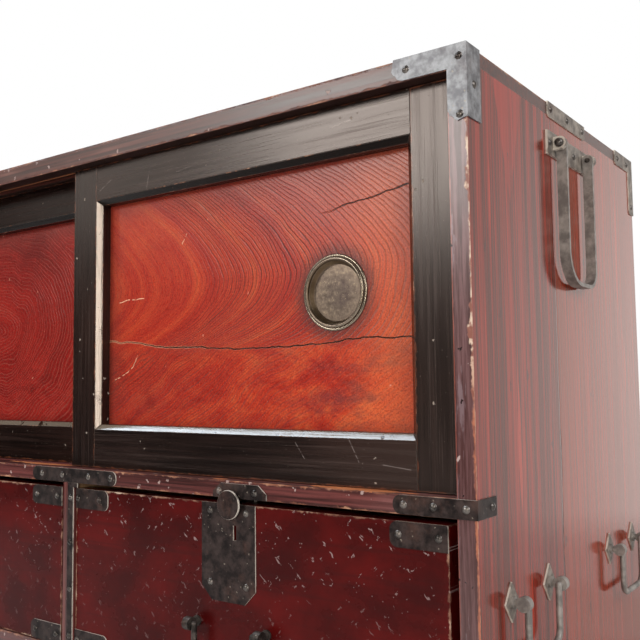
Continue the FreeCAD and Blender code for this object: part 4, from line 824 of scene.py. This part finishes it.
def dress_case():
    """The boards, the rails and the bare wood inside."""
    wood_edge = pale_edge("worn_case_edge", rgb(66, 30, 28), rgb(128, 84, 74), rgb(196, 172, 160), 0.50)
    top_edge = pale_edge("worn_top_edge", rgb(56, 28, 24), rgb(98, 62, 52), rgb(160, 116, 92), 0.53)
    rail_edge = pale_edge("worn_rail_edge", rgb(70, 34, 32), rgb(116, 84, 80), rgb(160, 142, 140), 0.50)
    side_edge = pale_edge("worn_side_edge", rgb(92, 54, 46), rgb(196, 168, 146), rgb(226, 212, 196), 0.44,
                          fade=(0.24, 0.36))
    side_look = side_lacquer("side_lacquer")
    top_look = worn_lacquer("top_board_lacquer", "top_board",
                            (rgb(46, 22, 18), rgb(84, 42, 34), rgb(128, 88, 80)), groove=TOP_GROOVE_Y)
    rail_look = worn_lacquer("rail_lacquer", "upper_rail",
                             (rgb(44, 18, 17), rgb(102, 52, 50), rgb(116, 78, 77)),
                             chips=0.30, ior=1.4, sheen=0.25, bare_top=BARE_STREAKS)
    base_look = worn_lacquer("base_rail_lacquer", "base_rail",
                             (rgb(58, 24, 24), rgb(88, 40, 38), rgb(112, 66, 66)), wear=0.005, chips=0.2)
    for side in SIGN:
        dress(f"side_board_{side}", side_look, side_edge, width=0.0009)
    dress("top_board", top_look, top_edge, width=0.0012)
    dress("upper_rail", rail_look, rail_edge, width=0.0009)
    dress("base_rail", base_look, wood_edge, width=0.0012)
    for name, axis in (("bottom_board", "X"), ("cupboard_floor", "X"), ("drawer_divider", "Z"),
                       ("back_boards", "X"), ("drawer_guides", "Y"), ("drawer_stops", "X")):
        wood = raw_wood(f"{name}_wood", axis)
        dress(name, wood, wood, width=0.0005)


def dress_door(side, sheen, edge_look, highlit_stile=None, scratches=()):
    """A door's black frame, each stile with wear of its own; the bevels of the rails, and of the chosen
    stile, get a painted highlight.
    """
    (_, y0, _), (_, y1, _) = block(f"{side}_door_rails")
    corners = [corner[0] for stile in STILES for corner in block(f"{side}_door_{stile}")]
    x0, x1 = min(corners), max(corners)
    o0, o1 = mirrored(side, OPEN_X)
    z0, z1 = SHOULDER_Z
    spans = ((x0, o0), (o1, x1))
    for stile, (a, b) in zip(STILES, spans if side == "right" else spans[::-1]):
        # Only the chosen stile's bevel gets the painted highlight.
        pale = 1.0 if stile == highlit_stile else 0.0
        look = black_lacquer(f"{side}_{stile}_lacquer", "Z", (a, y0, z0), (b, y1, z1), pale, sheen)
        dress(f"{side}_door_{stile}", look, edge_look)
    look = black_lacquer(f"{side}_rails_lacquer", "X", (x0, y0, z0), (x1, y1, z1), 1.0, sheen, scratches)
    dress(f"{side}_door_rails", look, edge_look)


def dress_drawer(side, edge_look, plate_look, nail_look, pull_look):
    """A drawer: lacquered front, bare box, iron."""
    name = f"{side}_drawer"
    look = drawer_lacquer(f"{name}_lacquer", *block(f"{name}_front"))
    dress(f"{name}_front", look, edge_look, width=0.0009)
    dress(f"{name}_box", raw_wood(f"{name}_wood", "Y", turned_back=True))
    dress(f"{name}_floor", raw_wood(f"{name}_floor_wood", "X"))
    for piece in ("corner_plates", "lock_plate", "lock_case", "lock_bolt"):
        dress(f"{name}_{piece}", plate_look)
    dress(f"{name}_nails", nail_look)
    dress(f"{name}_pull_posts", pull_look)
    dress(f"{name}_pull_bail", pull_look)


def dress_all():
    """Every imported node, with the irons that several of them share."""
    black_edge = worn_black_edge("worn_black_edge")
    drawer_edge = pale_edge("worn_drawer_edge", rgb(74, 26, 22), rgb(150, 112, 98), rgb(205, 186, 172), 0.50)
    front_iron = iron("front_iron", rgb(22, 15, 15), rgb(64, 52, 50), rim=1)
    bail_iron = iron("bail_iron", rgb(30, 26, 24), rgb(82, 74, 70))
    # The side irons and the front corner plates are painted paler than the front irons: painted light, for
    # the bright light on the sides and at the corners.
    lit_side_iron = iron("lit_side_iron", rgb(102, 97, 94), rgb(150, 144, 139), rust=0.12, metal=0.4)
    lit_side_plate_iron = iron("lit_side_plate_iron", rgb(84, 76, 70), rgb(146, 137, 128), rust=0.25, metal=0.35,
                           rim=0)
    lit_corner_iron = iron("lit_corner_iron", rgb(96, 96, 100), rgb(150, 152, 156), rust=0.2)
    nail_iron = iron("nail_iron", rgb(40, 36, 34), rgb(112, 106, 102), rust=0.3, rough=(0.22, 0.40))
    cup = bronze("patinated_bronze")

    dress_case()
    dress_door("left", 0.16, black_edge)
    dress("left_door_panel", left_zelkova())
    dress_door("right", 0.42, black_edge, highlit_stile="meeting_stile", scratches=RAIL_SCRATCHES)
    dress("right_door_panel", right_zelkova())
    for side in SIGN:
        dress(f"{side}_door_finger_pull", cup)
        dress_drawer(side, drawer_edge, front_iron, nail_iron, bail_iron)
        for bail in (f"carry_bail_{side}", f"lift_bail_{side}_front", f"lift_bail_{side}_rear"):
            dress(bail, lit_side_iron)
    for name in ("rail_corner_straps", "rail_center_strap", "strike_plates", "divider_strip",
                 "base_corner_plates"):
        dress(name, front_iron)
    dress("front_corner_plates", lit_corner_iron)
    for name in ("rear_corner_brackets", "side_top_straps", "carry_handle_plates", "lift_handle_plates"):
        dress(name, lit_side_plate_iron)
    dress("case_nails", nail_iron)
    dress("carry_handle_pins", nail_iron)
    dress("lift_handle_posts", lit_side_iron)


# ---------------------------------------------------------------- floor, light, camera
def stage_floor():
    """A pale round floor just under the chest, fading out towards its rim."""
    bpy.ops.mesh.primitive_circle_add(vertices=96, radius=1.9, fill_type="NGON", location=(0, 0, -0.0002))
    floor = bpy.context.object
    floor.name = "floor"
    s = Shader("pale_floor")
    away = s.vec("LENGTH", s.join(s.x, s.y, 0.0))
    s.set(Base_Color=rgb(236, 235, 233), Roughness=0.8, Alpha=s.step(away, 0.8, 1.35, 1.0, 0.0))
    floor.data.materials.append(s.mat)


def world_light():
    """White behind and beside the chest, dark in front of it; white all round to the camera."""
    world = bpy.data.worlds.new("studio")
    bpy.context.scene.world = world
    world.use_nodes = True
    n = Nodes(world.node_tree)
    back = n.add("ShaderNodeBackground")
    n.feed(n.add("ShaderNodeOutputWorld").inputs["Surface"], back.outputs[0])
    y = n.split(n.add("ShaderNodeTexCoord").outputs["Generated"])[1]
    behind = n.times(n.step(y, -0.45, 0.15, 0.05, 1.0), n.step(y, 0.88, 0.97, 0.75, 1.5, shape="LINEAR"))
    rays = n.add("ShaderNodeLightPath").outputs
    mirrored_ray = n.most(rays["Is Glossy Ray"], rays["Is Transmission Ray"])
    to_camera = rays["Is Camera Ray"]
    n.feed(back.inputs["Strength"], n.lerp(to_camera, n.lerp(mirrored_ray, 0.42, behind), 1.0))
    n.feed(back.inputs["Color"], n.mix(to_camera, (1.0, 0.955, 0.91, 1.0), (1.0, 1.0, 1.0, 1.0)))


def lamp(name, place, aim, size, power, colour=(1, 1, 1)):
    """A soft rectangular lamp at a place, turned to aim, with its size in metres and its power in watts."""
    light = bpy.data.lights.new(name, "AREA")
    light.shape = "RECTANGLE"
    light.size, light.size_y = size
    light.energy = power
    light.color = colour
    obj = bpy.data.objects.new(name, light)
    bpy.context.scene.collection.objects.link(obj)
    obj.location = place
    obj.rotation_euler = (Vector(aim) - Vector(place)).to_track_quat("-Z", "Y").to_euler()


def lamps():
    """Warm lamps at the front and the left, a cool one over the left end, a strip, one for the right side."""
    lamp("key", (-1.06, -2.58, 1.40), (0.1, -0.2, 0.38), (1.10, 0.85), 41, (1.0, 0.975, 0.93))
    lamp("left", (-1.95, -1.75, 1.25), (0.0, -0.2, 0.4), (0.7, 0.8), 3, (1.0, 0.92, 0.84))
    lamp("overhead", (-1.15, -0.31, 1.85), (-1.15, -0.31, 0.0), (1.6, 0.32), 24, (0.80, 0.90, 1.0))
    lamp("strip", (0.95, -1.38, 0.44), (0.022, -0.19, 0.36), (0.15, 0.85), 9, (1.0, 0.93, 0.82))
    lamp("side", (2.2, -0.6, 1.3), (0.45, 0.0, 0.3), (1.0, 1.2), 28)


def photograph_camera():
    """The photograph's viewing angle."""
    data = bpy.data.cameras.new("camera")
    data.sensor_width = 36.0
    data.lens = CAMERA_LENS
    data.clip_start = 0.01
    camera = bpy.data.objects.new("camera", data)
    bpy.context.scene.collection.objects.link(camera)
    camera.location = CAMERA_PLACE
    camera.rotation_euler = Euler(CAMERA_TURN, "XYZ")
    return camera


dress_all()
stage_floor()
world_light()
lamps()
bpy.context.scene.camera = photograph_camera()
bpy.context.scene.view_settings.view_transform = "Standard"
